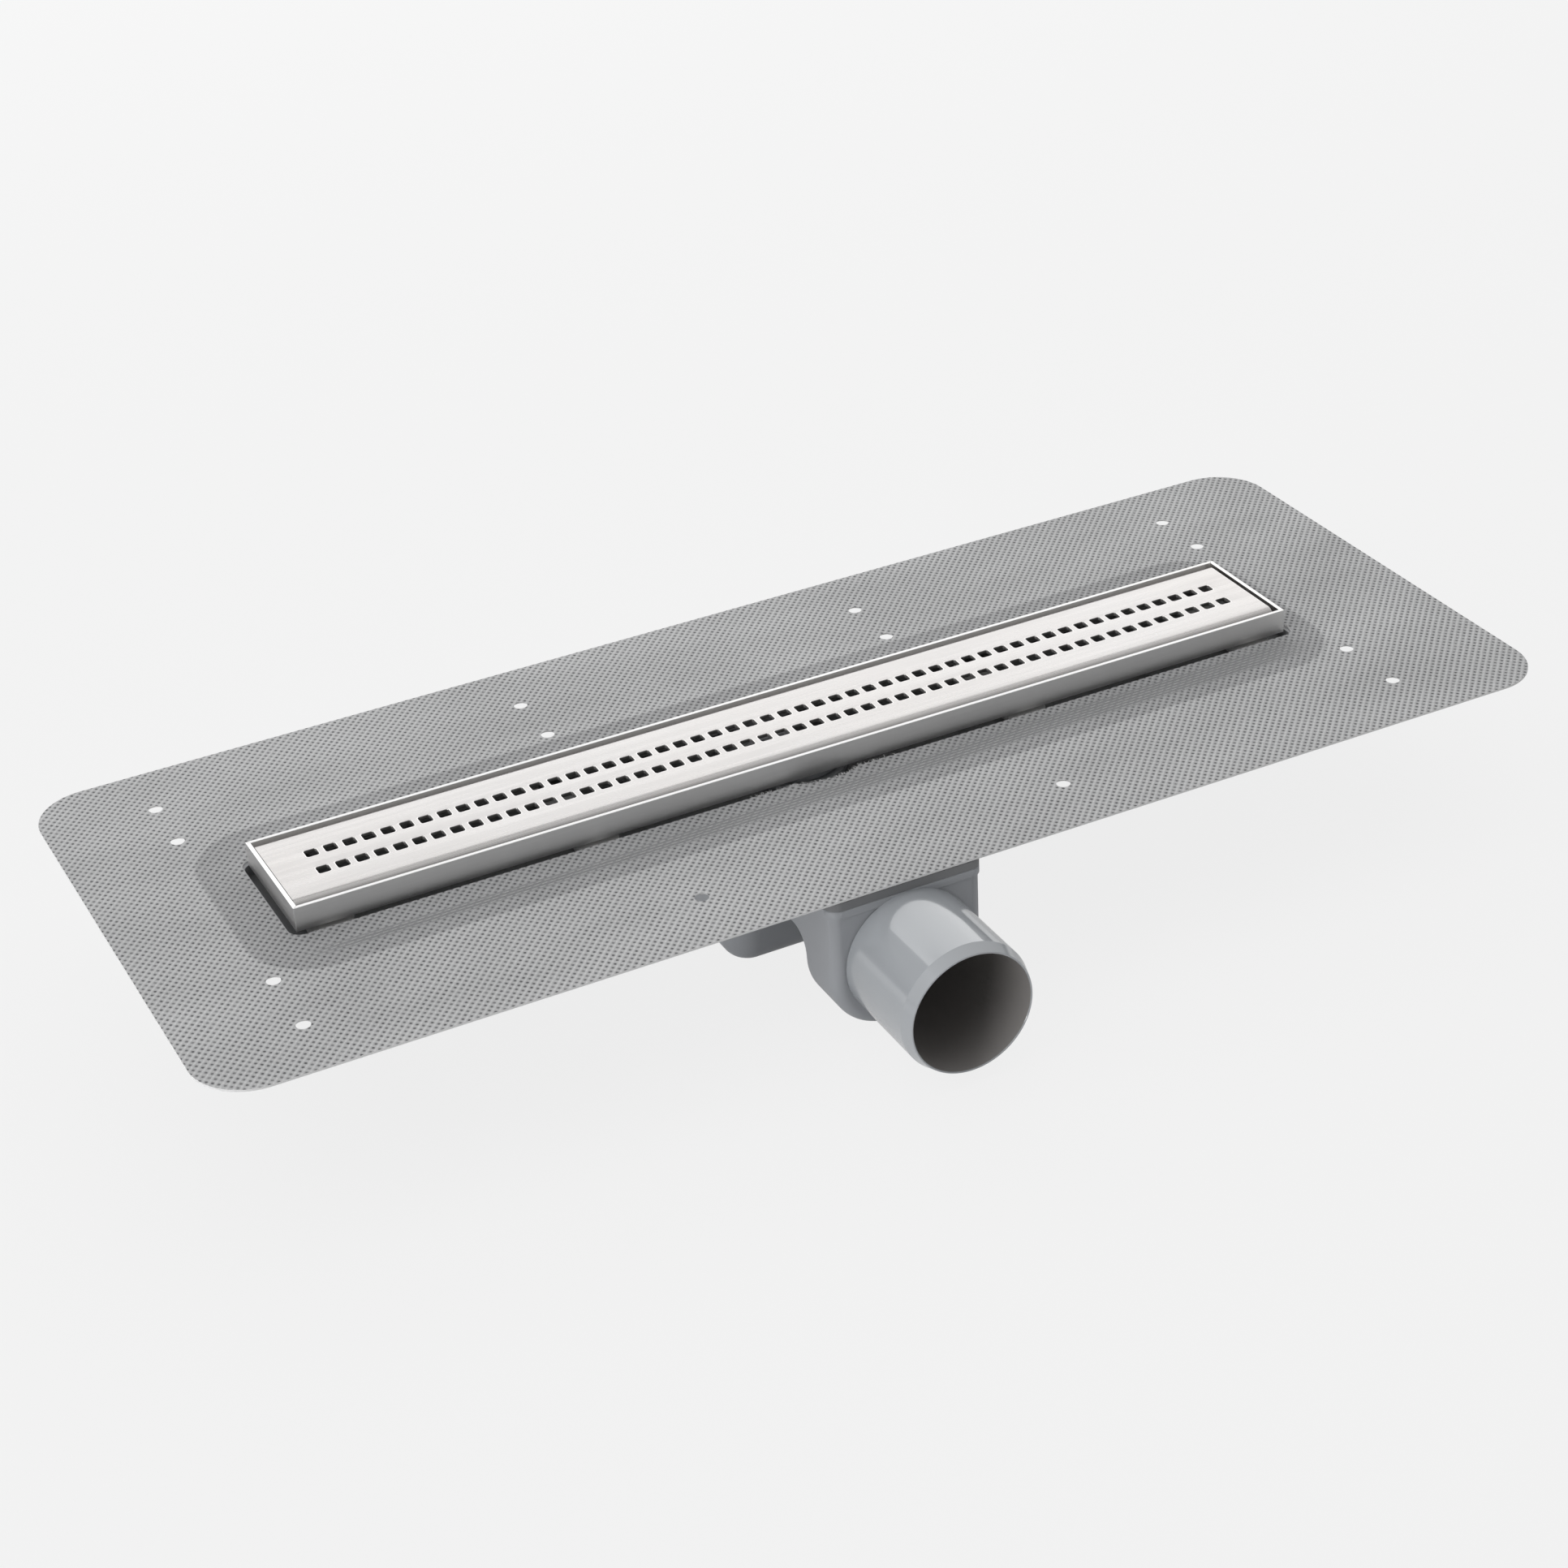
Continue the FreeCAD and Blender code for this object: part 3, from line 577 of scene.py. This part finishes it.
def ragged(x, y):
    """A point of the cut edge, a little uneven round the bulge, where the knife went freehand."""
    loose = CUT_WANDER * (1 - smooth(*FREEHAND_REACH, abs(x)))
    return (x + loose * noise.noise(Vector((x * 1.3, y * 1.3, 5.0))),
            y + loose * noise.noise(Vector((x * 1.1, y * 1.1, 9.0))))


def flared(x, y, centres):
    """A point of the underside, where a punched hole is a little wider than on top."""
    for cx, cy in centres:
        if math.dist((x, y), (cx, cy)) < HOLE_RADIUS + 0.01:
            grow = 1 + HOLE_FLARE / HOLE_RADIUS
            return cx + (x - cx) * grow, cy + (y - cy) * grow
    return x, y


def fixing_centres():
    """Centres of the fixing holes: three rows, and one hole more at both ends of the front."""
    centres = []
    for x in HOLE_COLUMNS:
        centres += [(x, y) for y in HOLE_ROWS]
        if x in (HOLE_COLUMNS[0], HOLE_COLUMNS[-1]):
            centres.append((x, FRONT_INNER_ROW))
    return centres


def sheet_points(window, centres):
    """Points that divide the sheet: a pair of loops at the flange's edge, and a lattice."""
    points = []
    for grow in (-FLANGE_FOLD, FLANGE_FOLD):
        fold = rounded_loop(FLANGE_SHIFT, 0.0, FLANGE_SIZE[0] + 2 * grow, FLANGE_SIZE[1] + 2 * grow,
                            FLANGE_CORNER + grow, 2.0)
        points += divided(fold, SHEET_STEP)
    for row in range(int(SHEET_SIZE[1] / SHEET_STEP) + 1):
        y = SHEET_CENTRE[1] - SHEET_SIZE[1] / 2 + row * SHEET_STEP
        for column in range(int(SHEET_SIZE[0] / SHEET_STEP) + 1):
            x = SHEET_CENTRE[0] - SHEET_SIZE[0] / 2 + (column + (row % 2) * 0.5) * SHEET_STEP
            if sheet_gap(x, y) > -EDGE_CLEAR or abs(flange_gap(x, y)) < FLANGE_CLEAR:
                continue
            if abs(x) < CUT_REACH[0] and abs(y) < CUT_REACH[1] and (
                    inside(window, x, y) or loop_distance(window, x, y) < CUT_CLEAR):
                continue
            if any(math.dist((x, y), centre) < HOLE_RADIUS + HOLE_CLEAR for centre in centres):
                continue
            points.append((x, y))
    return points


def flat_area(corners, triangles):
    """Area of flat triangles, in square metres."""
    area = 0.0
    for a, b, c in triangles:
        (xa, ya), (xb, yb), (xc, yc) = corners[a], corners[b], corners[c]
        area += abs((xb - xa) * (yc - ya) - (xc - xa) * (yb - ya)) / 2
    return area * MM * MM


def membrane():
    """The laid sheet with its cut-out and fixing holes, and its flat area."""
    outline = divided(rounded_loop(*SHEET_CENTRE, *SHEET_SIZE, SHEET_CORNER, 2.0), 3.0)
    cut = divided(opening_loop(CUT_MARGIN, *CUT_SHIFT, 0.6), 0.8)
    window = [ragged(x, y) for x, y in cut]
    centres = fixing_centres()
    holes = [arc_points(centre, HOLE_RADIUS, 0, 360, 0.5)[:-1] for centre in centres]
    flat, triangles = triangulate([outline, window] + holes, sheet_points(window, centres))
    count = len(flat)
    verts = [(x * MM, y * MM, (SHEET_TOP + sheet_relief(x, y)) * MM) for x, y in flat]
    for x, y in flat:
        wide_x, wide_y = flared(x, y, centres)
        verts.append((wide_x * MM, wide_y * MM, (DECK + sheet_relief(x, y)) * MM))
    faces = triangles + [(c + count, b + count, a + count) for a, b, c in triangles]
    skin = len(faces)
    faces += [(b, a, a + count, b + count) for a, b in boundary(triangles)]
    mesh = bpy.data.meshes.new("sealing_sheet")
    mesh.from_pydata(verts, [], faces)
    weave = []
    flange_shade = []
    for x, y in flat + flat:
        weave += (x / WEAVE_X + y / WEAVE_Y, x / WEAVE_X - y / WEAVE_Y, pressed(x, y))
        # Where the sheet lies on the flange it gets painted shade, faded in over 1.2 mm at the
        # flange's edge.
        flange_shade.append(1 - smooth(-0.6, 0.6, flange_gap(x, y)))
    mesh.attributes.new("weave", "FLOAT_VECTOR", "POINT").data.foreach_set("vector", weave)
    mesh.attributes.new("flange_shade", "FLOAT", "POINT").data.foreach_set("value", flange_shade)
    materials = [weave_material("fleece"), cut_material("cut_fleece", 0.78, 0.92)]
    piece = new_object("sealing_sheet", mesh, materials)
    for index, face in enumerate(mesh.polygons):
        face.material_index = 1 if index >= skin else 0
    shade(mesh, 40)
    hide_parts("sealing_membrane")
    return piece, flat_area(flat, triangles)


def frayed_fibres():
    """Loose fibres along the knife cut, most of them at the front of the bulge."""
    random.seed(11)
    verts = []
    faces = []
    for _ in range(FIBRE_TRIES):
        x = random.gauss(FIBRE_MIDDLE, FIBRE_SCATTER)
        if abs(x - CUT_SHIFT[0]) > FIBRE_LIMIT:
            continue
        reach = math.sqrt(max((BULGE_RADIUS + CUT_MARGIN) ** 2 - (x - CUT_SHIFT[0]) ** 2, 0.0))
        y = CUT_SHIFT[1] - max(reach, OPENING_SIZE[1] / 2 + CUT_MARGIN)
        heading = math.radians(90 + random.uniform(-65, 65))
        rise = random.uniform(-0.15, 0.55)
        length = random.uniform(0.6, 2.0)
        thickness = random.uniform(0.06, 0.12)
        bend = random.uniform(-0.8, 0.8)
        base = len(verts)
        for ring in range(FIBRE_RINGS):
            t = ring / (FIBRE_RINGS - 1)
            angle = heading + bend * t
            centre = Vector((x + length * t * math.cos(angle),
                             y - 0.15 + length * t * math.sin(angle),
                             SHEET_TOP - 0.25 + rise * t + 0.3 * math.sin(math.pi * t)))
            width = thickness * (1.05 - 0.75 * t)
            for corner in range(FIBRE_SIDES):
                turn = 2 * math.pi * corner / FIBRE_SIDES
                side = Vector((-math.sin(angle) * math.cos(turn), math.cos(angle) * math.cos(turn),
                               math.sin(turn)))
                verts.append((centre + side * width) * MM)
        for ring in range(FIBRE_RINGS - 1):
            for corner in range(FIBRE_SIDES):
                a = base + ring * FIBRE_SIDES + corner
                b = base + ring * FIBRE_SIDES + (corner + 1) % FIBRE_SIDES
                faces.append((a, b, b + FIBRE_SIDES, a + FIBRE_SIDES))
        tip = base + (FIBRE_RINGS - 1) * FIBRE_SIDES
        faces.append(tuple(range(base + FIBRE_SIDES - 1, base - 1, -1)))
        faces.append(tuple(range(tip, tip + FIBRE_SIDES)))
    mesh = bpy.data.meshes.new("frayed_fibres")
    mesh.from_pydata(verts, [], faces)
    tidy(mesh)
    return new_object("frayed_fibres", mesh, [cut_material("loose_fibre", 0.55, 0.85)])


# ---------------------------------------------------------------- grate

FLAT_HALF = GRATE_SIZE[1] / 2 - GRATE_BEND
BEND_RUN = GRATE_BEND * math.pi / 2

# Division of the cover: rows over its flat top, points along a row, and a last one near the ends
FLAT_ROWS = [15.0, 12.5, 10.2]
ROW_STEP = 8.0
ROW_END = 0.25

# Rings down a hole's wall, from its broken upper edge: how far outside the hole, and how deep
HOLE_RINGS = ((0.10, 0.03), (0.04, 0.08), (0.0, 0.2), (0.0, GRATE_SHEET - 0.12),
              (0.12, GRATE_SHEET))


def folded(s, depth):
    """Cross-section point of the folded cover: s runs across the developed sheet, depth into it."""
    side = 1.0 if s >= 0 else -1.0
    run = abs(s)
    if run <= FLAT_HALF:
        return s, GRATE_TOP - depth
    if run < FLAT_HALF + BEND_RUN:
        angle = (run - FLAT_HALF) / GRATE_BEND
        radius = GRATE_BEND - depth
        return (side * (FLAT_HALF + radius * math.sin(angle)),
                GRATE_TOP - GRATE_BEND + radius * math.cos(angle))
    return (side * (GRATE_SIZE[1] / 2 - depth),
            GRATE_TOP - GRATE_BEND - (run - FLAT_HALF - BEND_RUN))


def cover_point(x, y, z):
    """A point of the cover in space, from its place in the grate's own plan."""
    return ((GRATE_CENTRE[0] + x) * MM, (GRATE_CENTRE[1] + y) * MM, z * MM)


def punch_walls(verts, faces, surface, edges, rims):
    """Adds the walls of the holes, from the upper edges down to the same edges underneath."""
    count = len(surface)
    columns = {}
    for a in {v for pair in edges for v in pair}:
        x, s = surface[a]
        cx, cs = min(rims, key=lambda rim: (rim[0] - x) ** 2 + (rim[1] - s) ** 2)
        column = [a]
        for margin, depth in HOLE_RINGS:
            scale = (HOLE_SIZE / 2 + margin) / (HOLE_SIZE / 2 + HOLE_BREAK)
            column.append(len(verts))
            verts.append(cover_point(cx + (x - cx) * scale, cs + (s - cs) * scale,
                                     GRATE_TOP - depth))
        columns[a] = column + [a + count]
    for a, b in edges:
        left, right = columns[b], columns[a]
        for step in range(len(HOLE_RINGS) + 1):
            faces.append((left[step], right[step], right[step + 1], left[step + 1]))


def perforated_cover():
    """Folded cover with rounded square holes whose upper edges are broken, cut from one sheet."""
    half_x = GRATE_SIZE[0] / 2
    half_s = FLAT_HALF + BEND_RUN + (GRATE_TOP - GRATE_BEND - GRATE_FOOT)
    steps = [half_s, FLAT_HALF + BEND_RUN]
    steps += [FLAT_HALF + GRATE_BEND * math.radians(a) for a in range(80, -1, -10)] + FLAT_ROWS
    rows = sorted(steps + [-s for s in steps])
    outline = [(half_x, s) for s in rows] + [(-half_x, s) for s in reversed(rows)]
    along = [-half_x + ROW_STEP * i for i in range(1, int(2 * half_x / ROW_STEP))]
    points = []
    for s in rows:
        ends = [] if abs(s) == half_s else [ROW_END - half_x, half_x - ROW_END]
        points += [(x, s) for x in along + ends]
    rims = []
    for column in range(GRATE_COLUMNS):
        x = HOLE_SHIFT + (column - (GRATE_COLUMNS - 1) / 2) * GRATE_PITCH
        rims += [(x, GRATE_ROW), (x, -GRATE_ROW)]
    wide = HOLE_SIZE + 2 * HOLE_BREAK
    corner = HOLE_CORNER + HOLE_BREAK
    loops = [outline] + [rounded_loop(x, y, wide, wide, corner, 0.35) for x, y in rims]
    surface, triangles = triangulate(loops, points)
    count = len(surface)
    verts = [cover_point(x, *folded(s, depth)) for depth in (0.0, GRATE_SHEET) for x, s in surface]
    faces = triangles + [(c + count, b + count, a + count) for a, b, c in triangles]
    hole_edges = []
    for a, b in boundary(triangles):
        (xa, sa), (xb, sb) = surface[a], surface[b]
        if max(abs(xa), abs(xb)) > half_x - 1e-4 or max(abs(sa), abs(sb)) > half_s - 1e-4:
            faces.append((b, a, a + count, b + count))
        else:
            hole_edges.append((a, b))
    punch_walls(verts, faces, surface, hole_edges, rims)
    mesh = bpy.data.meshes.new("perforated_cover")
    mesh.from_pydata(verts, [], faces)
    tidy(mesh)
    shade(mesh, 42)
    # The hole walls get darker steel, painted shade, and the broken rims round the holes paler
    # steel, a painted highlight.
    materials = [brushed_steel("brushed_cover", (0.575, 0.561, 0.553), "x", 0.27, 0.3),
                 brushed_steel("hole_walls_painted_shade", (0.42, 0.415, 0.41), "y", 0.5, 0.5),
                 brushed_steel("hole_rims_painted_highlight", (0.72, 0.71, 0.70), "x", 0.2, 0.1)]
    piece = new_object("perforated_cover", mesh, materials)
    for face in mesh.polygons:
        x, y = face.center.x / MM - GRATE_CENTRE[0], face.center.y / MM - GRATE_CENTRE[1]
        if abs(face.normal.z) < 0.3 and abs(x) < half_x - 1 and abs(y) < FLAT_HALF - 1:
            face.material_index = 1
        elif 0.3 < face.normal.z < 0.999 and abs(y) < FLAT_HALF - 1:
            face.material_index = 2
    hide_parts("grate")


# ---------------------------------------------------------------- outlet pipe

def pipe_plastic():
    """Glossy extruded plastic with faint lines along the pipe."""
    made = Nodes("pipe_plastic").set(Roughness=0.12, IOR=1.5)
    made.set(Coat_Weight=0.8, Coat_IOR=1.62, Coat_Roughness=0.06)
    flow = made.noise(made.place((1.0, 0.25, 1.0)), 30.0, 3.0)
    fine = made.noise(made.place((900.0, 12.0, 900.0)), 1.0, 2.0)
    tone = made.mix(made.ramp(flow, 0.3, 0.7, 0.0, 1.0), (0.415, 0.436, 0.461, 1.0),
                    (0.443, 0.464, 0.489, 1.0))
    made.feed(Base_Color=tone, Roughness=made.ramp(fine, 0.2, 0.8, 0.13, 0.22))
    made.bump(fine, 0.08, 0.00005)
    return made.material


def outlet_spigot():
    """Plain pipe end, turned finely, with a drawn-in chamfer and a rounded lip."""
    radius, along = PIPE_LIP[-1]
    profile = list(PIPE_LIP)
    for t in (0.35, 0.7):
        profile.append((radius + (PIPE_RADIUS - radius) * t,
                        along + (PIPE_CHAMFER_END - along) * t))
    profile += [(PIPE_RADIUS, y) for y in (PIPE_CHAMFER_END, -125.0, -106.0, DECK_FRONT)]
    profile += [(PIPE_NECK, DECK_FRONT), (PIPE_NECK, PIPE_NECK_END)]
    profile += [(PIPE_BORE, y) for y in (PIPE_NECK_END, -120.0, -144.0)]
    mesh = lathe(profile, PIPE_SEGMENTS,
                 lambda a, b, y: ((PIPE_X + a) * MM, y * MM, (PIPE_Z + b) * MM))
    shade(mesh, 12)
    # The bore gets a darker, browner plastic than the pipe's outside: painted shade inside the
    # pipe.
    materials = [pipe_plastic(), moulded_plastic("pipe_bore_shade", (0.32, 0.306, 0.298), 0.35)]
    piece = new_object("outlet_spigot", mesh, materials)
    for face in mesh.polygons:
        radius = math.hypot(face.center.x / MM - PIPE_X, face.center.z / MM - PIPE_Z)
        if radius < PIPE_BORE + 0.1 and abs(face.normal.y) < 0.3:
            face.material_index = 1
    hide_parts("outlet_pipe")


# ---------------------------------------------------------------- nodes that keep their own solids

BEVEL_ANGLE = 30.0
BEVEL_SEGMENTS = 2
FRAME_STEEL = (0.95, 0.95, 0.945)


def dress(node, material, bevel):
    """Gives a node one material and, where a bevel is named, softly broken edges."""
    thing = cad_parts[node]
    mesh = thing.data
    mesh.materials.clear()
    mesh.materials.append(material)
    for face in mesh.polygons:
        face.material_index = 0
    weld = thing.modifiers.new("weld", "WELD")
    weld.merge_threshold = 1e-6
    if bevel:
        cut = thing.modifiers.new("bevel", "BEVEL")
        cut.width = bevel * MM
        cut.segments = BEVEL_SEGMENTS
        cut.limit_method = "ANGLE"
        cut.angle_limit = math.radians(BEVEL_ANGLE)
        cut.harden_normals = False
        cut.use_clamp_overlap = True


def dress_nodes():
    """Materials and broken edges of the nodes that aren't replaced; the frame's inner faces get
    darker, rougher steel as painted shade.
    """
    # The frame's steel is darker on its upward faces: painted shade.
    steel_x = brushed_steel("brushed_frame", FRAME_STEEL, "x", 0.33, 0.3, 0.82)
    steel_y = brushed_steel("brushed_ends", FRAME_STEEL, "y", 0.33, 0.3, 0.82)
    # Painted shade: the frame's inward faces get a darker steel than its outer faces.
    inner = brushed_steel("shaded_inner_faces", (0.86, 0.85, 0.84), "x", 0.45, 0.3)
    for node, steel, inward in (("frame_front_rail", steel_x, (0, 1)),
                                ("frame_back_rail", steel_x, (0, -1)),
                                ("frame_left_end", steel_y, (1, 0)),
                                ("frame_right_end", steel_y, (-1, 0))):
        dress(node, steel, 0.12)
        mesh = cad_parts[node].data
        mesh.materials.append(inner)
        for face in mesh.polygons:
            facing = face.normal.x * inward[0] + face.normal.y * inward[1]
            face.material_index = int(facing > 0.7)
    dress("frame_tabs", steel_x, 0.15)
    dress("grate_spacers", steel_y, 0.15)
    dress("levelling_screws", brushed_steel("turned_steel", (0.72, 0.71, 0.70), "x", 0.3, 0.3), 0.1)
    for node, name, colour, roughness, edge, bevel in (
            ("frame_feet", "foot_plastic", (0.76, 0.755, 0.75), 0.45, WORN_EDGE, 0.3),
            # The channel body's plastic is made dark grey, darker than its own tone: painted shade
            # where it shows in the gaps.
            ("channel_body", "channel_plastic_shaded", (0.22, 0.223, 0.23), 0.42, WORN_EDGE, 0.2),
            ("trap_housing", "housing_plastic", (0.42, 0.435, 0.46), 0.4, 0.0, 0.0),
            ("trap_insert", "insert_plastic", (0.55, 0.56, 0.58), 0.4, WORN_EDGE, 0.2),
            ("trap_bail", "bail_plastic", (0.55, 0.56, 0.58), 0.4, WORN_EDGE, 0.2),
            ("hair_strainer", "strainer_plastic", (0.46, 0.47, 0.49), 0.4, WORN_EDGE, 0.2)):
        dress(node, moulded_plastic(name, colour, roughness, edge), bevel)
    rubber = moulded_plastic("black_rubber", (0.03, 0.03, 0.03), 0.6)
    dress("trap_seal", rubber, 0.15)
    dress("grate_pads", rubber, 0.2)


# ---------------------------------------------------------------- studio

BACKGROUND = 0.855

# The dome's level against height, and how it fades along y: (from, to, first, last)
DOME = ((0.0, 0.62), (0.22, 0.75), (0.5, 0.83), (0.8, 0.95), (1.0, 1.0))
DOME_STRENGTH = 1.27
FRONT_LEVEL = 0.27
BACK_LEVEL = 0.3
DOME_FADES = ((-0.75, 0.35, FRONT_LEVEL, 1.0),
              (0.3, 0.6, DOME_STRENGTH, DOME_STRENGTH * BACK_LEVEL))

# The floor's own tone and grain, the tone that the camera sees, and that tone's share
FLOOR_GREY = 0.8
FLOOR_GRAIN = 0.01
FLOOR_SEEN = 0.918
FLOOR_GLOW = 0.9
FLOOR_HALF = 9.0

LAMP_TARGET = (0.0, 0.0, 0.03)


def sky():
    """A soft dome, brighter overhead and dimmer in front and behind, seen as a plain backdrop."""
    world = bpy.data.worlds.new("studio")
    bpy.context.scene.world = world
    world.use_nodes = True
    tree = world.node_tree
    tree.nodes.clear()
    output, coordinates, split, ramp, path, chosen, dome, seen = (
        tree.nodes.new("ShaderNode" + kind) for kind in (
            "OutputWorld", "TexCoord", "SeparateXYZ", "ValToRGB", "LightPath", "MixShader",
            "Background", "Background"))
    seen.inputs["Color"].default_value = grey(BACKGROUND)
    elements = ramp.color_ramp.elements
    while len(elements) < len(DOME):
        elements.new(0.5)
    for element, (place, level) in zip(elements, DOME):
        element.position = place
        element.color = grey(level)
    level = ramp.outputs[0]
    for fade in DOME_FADES:
        faded = map_range(tree, split.outputs[1], *fade)
        faded.interpolation_type = "SMOOTHSTEP"
        product = tree.nodes.new("ShaderNodeMath")
        product.operation = "MULTIPLY"
        tree.links.new(level, product.inputs[0])
        tree.links.new(faded.outputs[0], product.inputs[1])
        level = product.outputs[0]
    for source, target in ((coordinates.outputs["Generated"], split.inputs[0]),
                           (split.outputs[2], ramp.inputs[0]),
                           (level, dome.inputs["Strength"]),
                           (path.outputs["Is Camera Ray"], chosen.inputs[0]),
                           (dome.outputs[0], chosen.inputs[1]),
                           (seen.outputs[0], chosen.inputs[2]),
                           (chosen.outputs[0], output.inputs["Surface"])):
        tree.links.new(source, target)


def softbox(name, place, size, level, spread=180.0):
    """Area lamp aimed at the part, as bright for its area as its level says."""
    lamp = bpy.data.lights.new(name, "AREA")
    lamp.shape = "RECTANGLE"
    lamp.size, lamp.size_y = size
    lamp.energy = level * math.pi * size[0] * size[1]
    lamp.spread = math.radians(spread)
    thing = bpy.data.objects.new(name, lamp)
    bpy.context.scene.collection.objects.link(thing)
    thing.location = place
    aim = Vector(LAMP_TARGET) - Vector(place)
    thing.rotation_euler = aim.to_track_quat("-Z", "Y").to_euler()


def paper_floor():
    """Pale floor that keeps a soft shadow, and is partly plain, so it reads as the backdrop."""
    far = FLOOR_HALF
    mesh = bpy.data.meshes.new("floor")
    mesh.from_pydata([(-far, -far, 0), (far, -far, 0), (far, far, 0), (-far, far, 0)], [],
                     [(0, 1, 2, 3)])
    floor = bpy.data.objects.new("floor", mesh)
    bpy.context.scene.collection.objects.link(floor)
    made = Nodes("floor_paper").set(Roughness=0.9, Specular_IOR_Level=0.0)
    grain = made.noise(made.place(), 6.0, 2.0)
    made.feed(Base_Color=made.mix(grain, grey(FLOOR_GREY - FLOOR_GRAIN),
                                  grey(FLOOR_GREY + FLOOR_GRAIN)))
    glow = made.node("ShaderNodeEmission")
    glow.inputs["Color"].default_value = grey(FLOOR_SEEN)
    path = made.node("ShaderNodeLightPath")
    plain = made.math("MAXIMUM", path.outputs["Is Camera Ray"], path.outputs["Is Transmission Ray"])
    plain = made.math("MAXIMUM", plain, made.math("MULTIPLY", path.outputs["Is Glossy Ray"], 0.5))
    blend = made.node("ShaderNodeMixShader")
    made.link(made.math("MULTIPLY", plain, FLOOR_GLOW), blend.inputs[0])
    made.link(made.shader.outputs[0], blend.inputs[1])
    made.link(glow.outputs[0], blend.inputs[2])
    made.link(blend.outputs[0], made.output.inputs["Surface"])
    mesh.materials.append(made.material)


def studio():
    """Dome, lamps and floor: the key from the left front, one behind and a low one at the left."""
    sky()
    softbox("key", (-1.0, -0.35, 1.0), (0.9, 0.7), 1.15)
    softbox("back", (0.30, 1.39, 0.73), (2.0, 1.3), 1.52)
    softbox("low", (-1.3, -0.4, 0.12), (0.9, 0.22), 1.68, 80.0)
    paper_floor()


def camera():
    """Camera at the place that the photo was taken from."""
    data = bpy.data.cameras.new("camera")
    data.sensor_width = 36.0
    data.lens = LENS
    data.clip_start = 0.01
    thing = bpy.data.objects.new("camera", data)
    bpy.context.scene.collection.objects.link(thing)
    place = Vector(CAMERA_PLACE) * MM
    look = (Vector(CAMERA_TARGET) * MM - place).to_track_quat("-Z", "Y").to_matrix()
    turn = look @ Matrix.Rotation(math.radians(-CAMERA_ROLL), 3, "Z")
    thing.matrix_world = Matrix.Translation(place) @ turn.to_4x4()
    bpy.context.scene.camera = thing


camera()
studio()
dress_nodes()
sheet, sheet_area = membrane()
fibres = frayed_fibres()
perforated_cover()
outlet_spigot()

bpy.context.scene.view_settings.view_transform = "Standard"
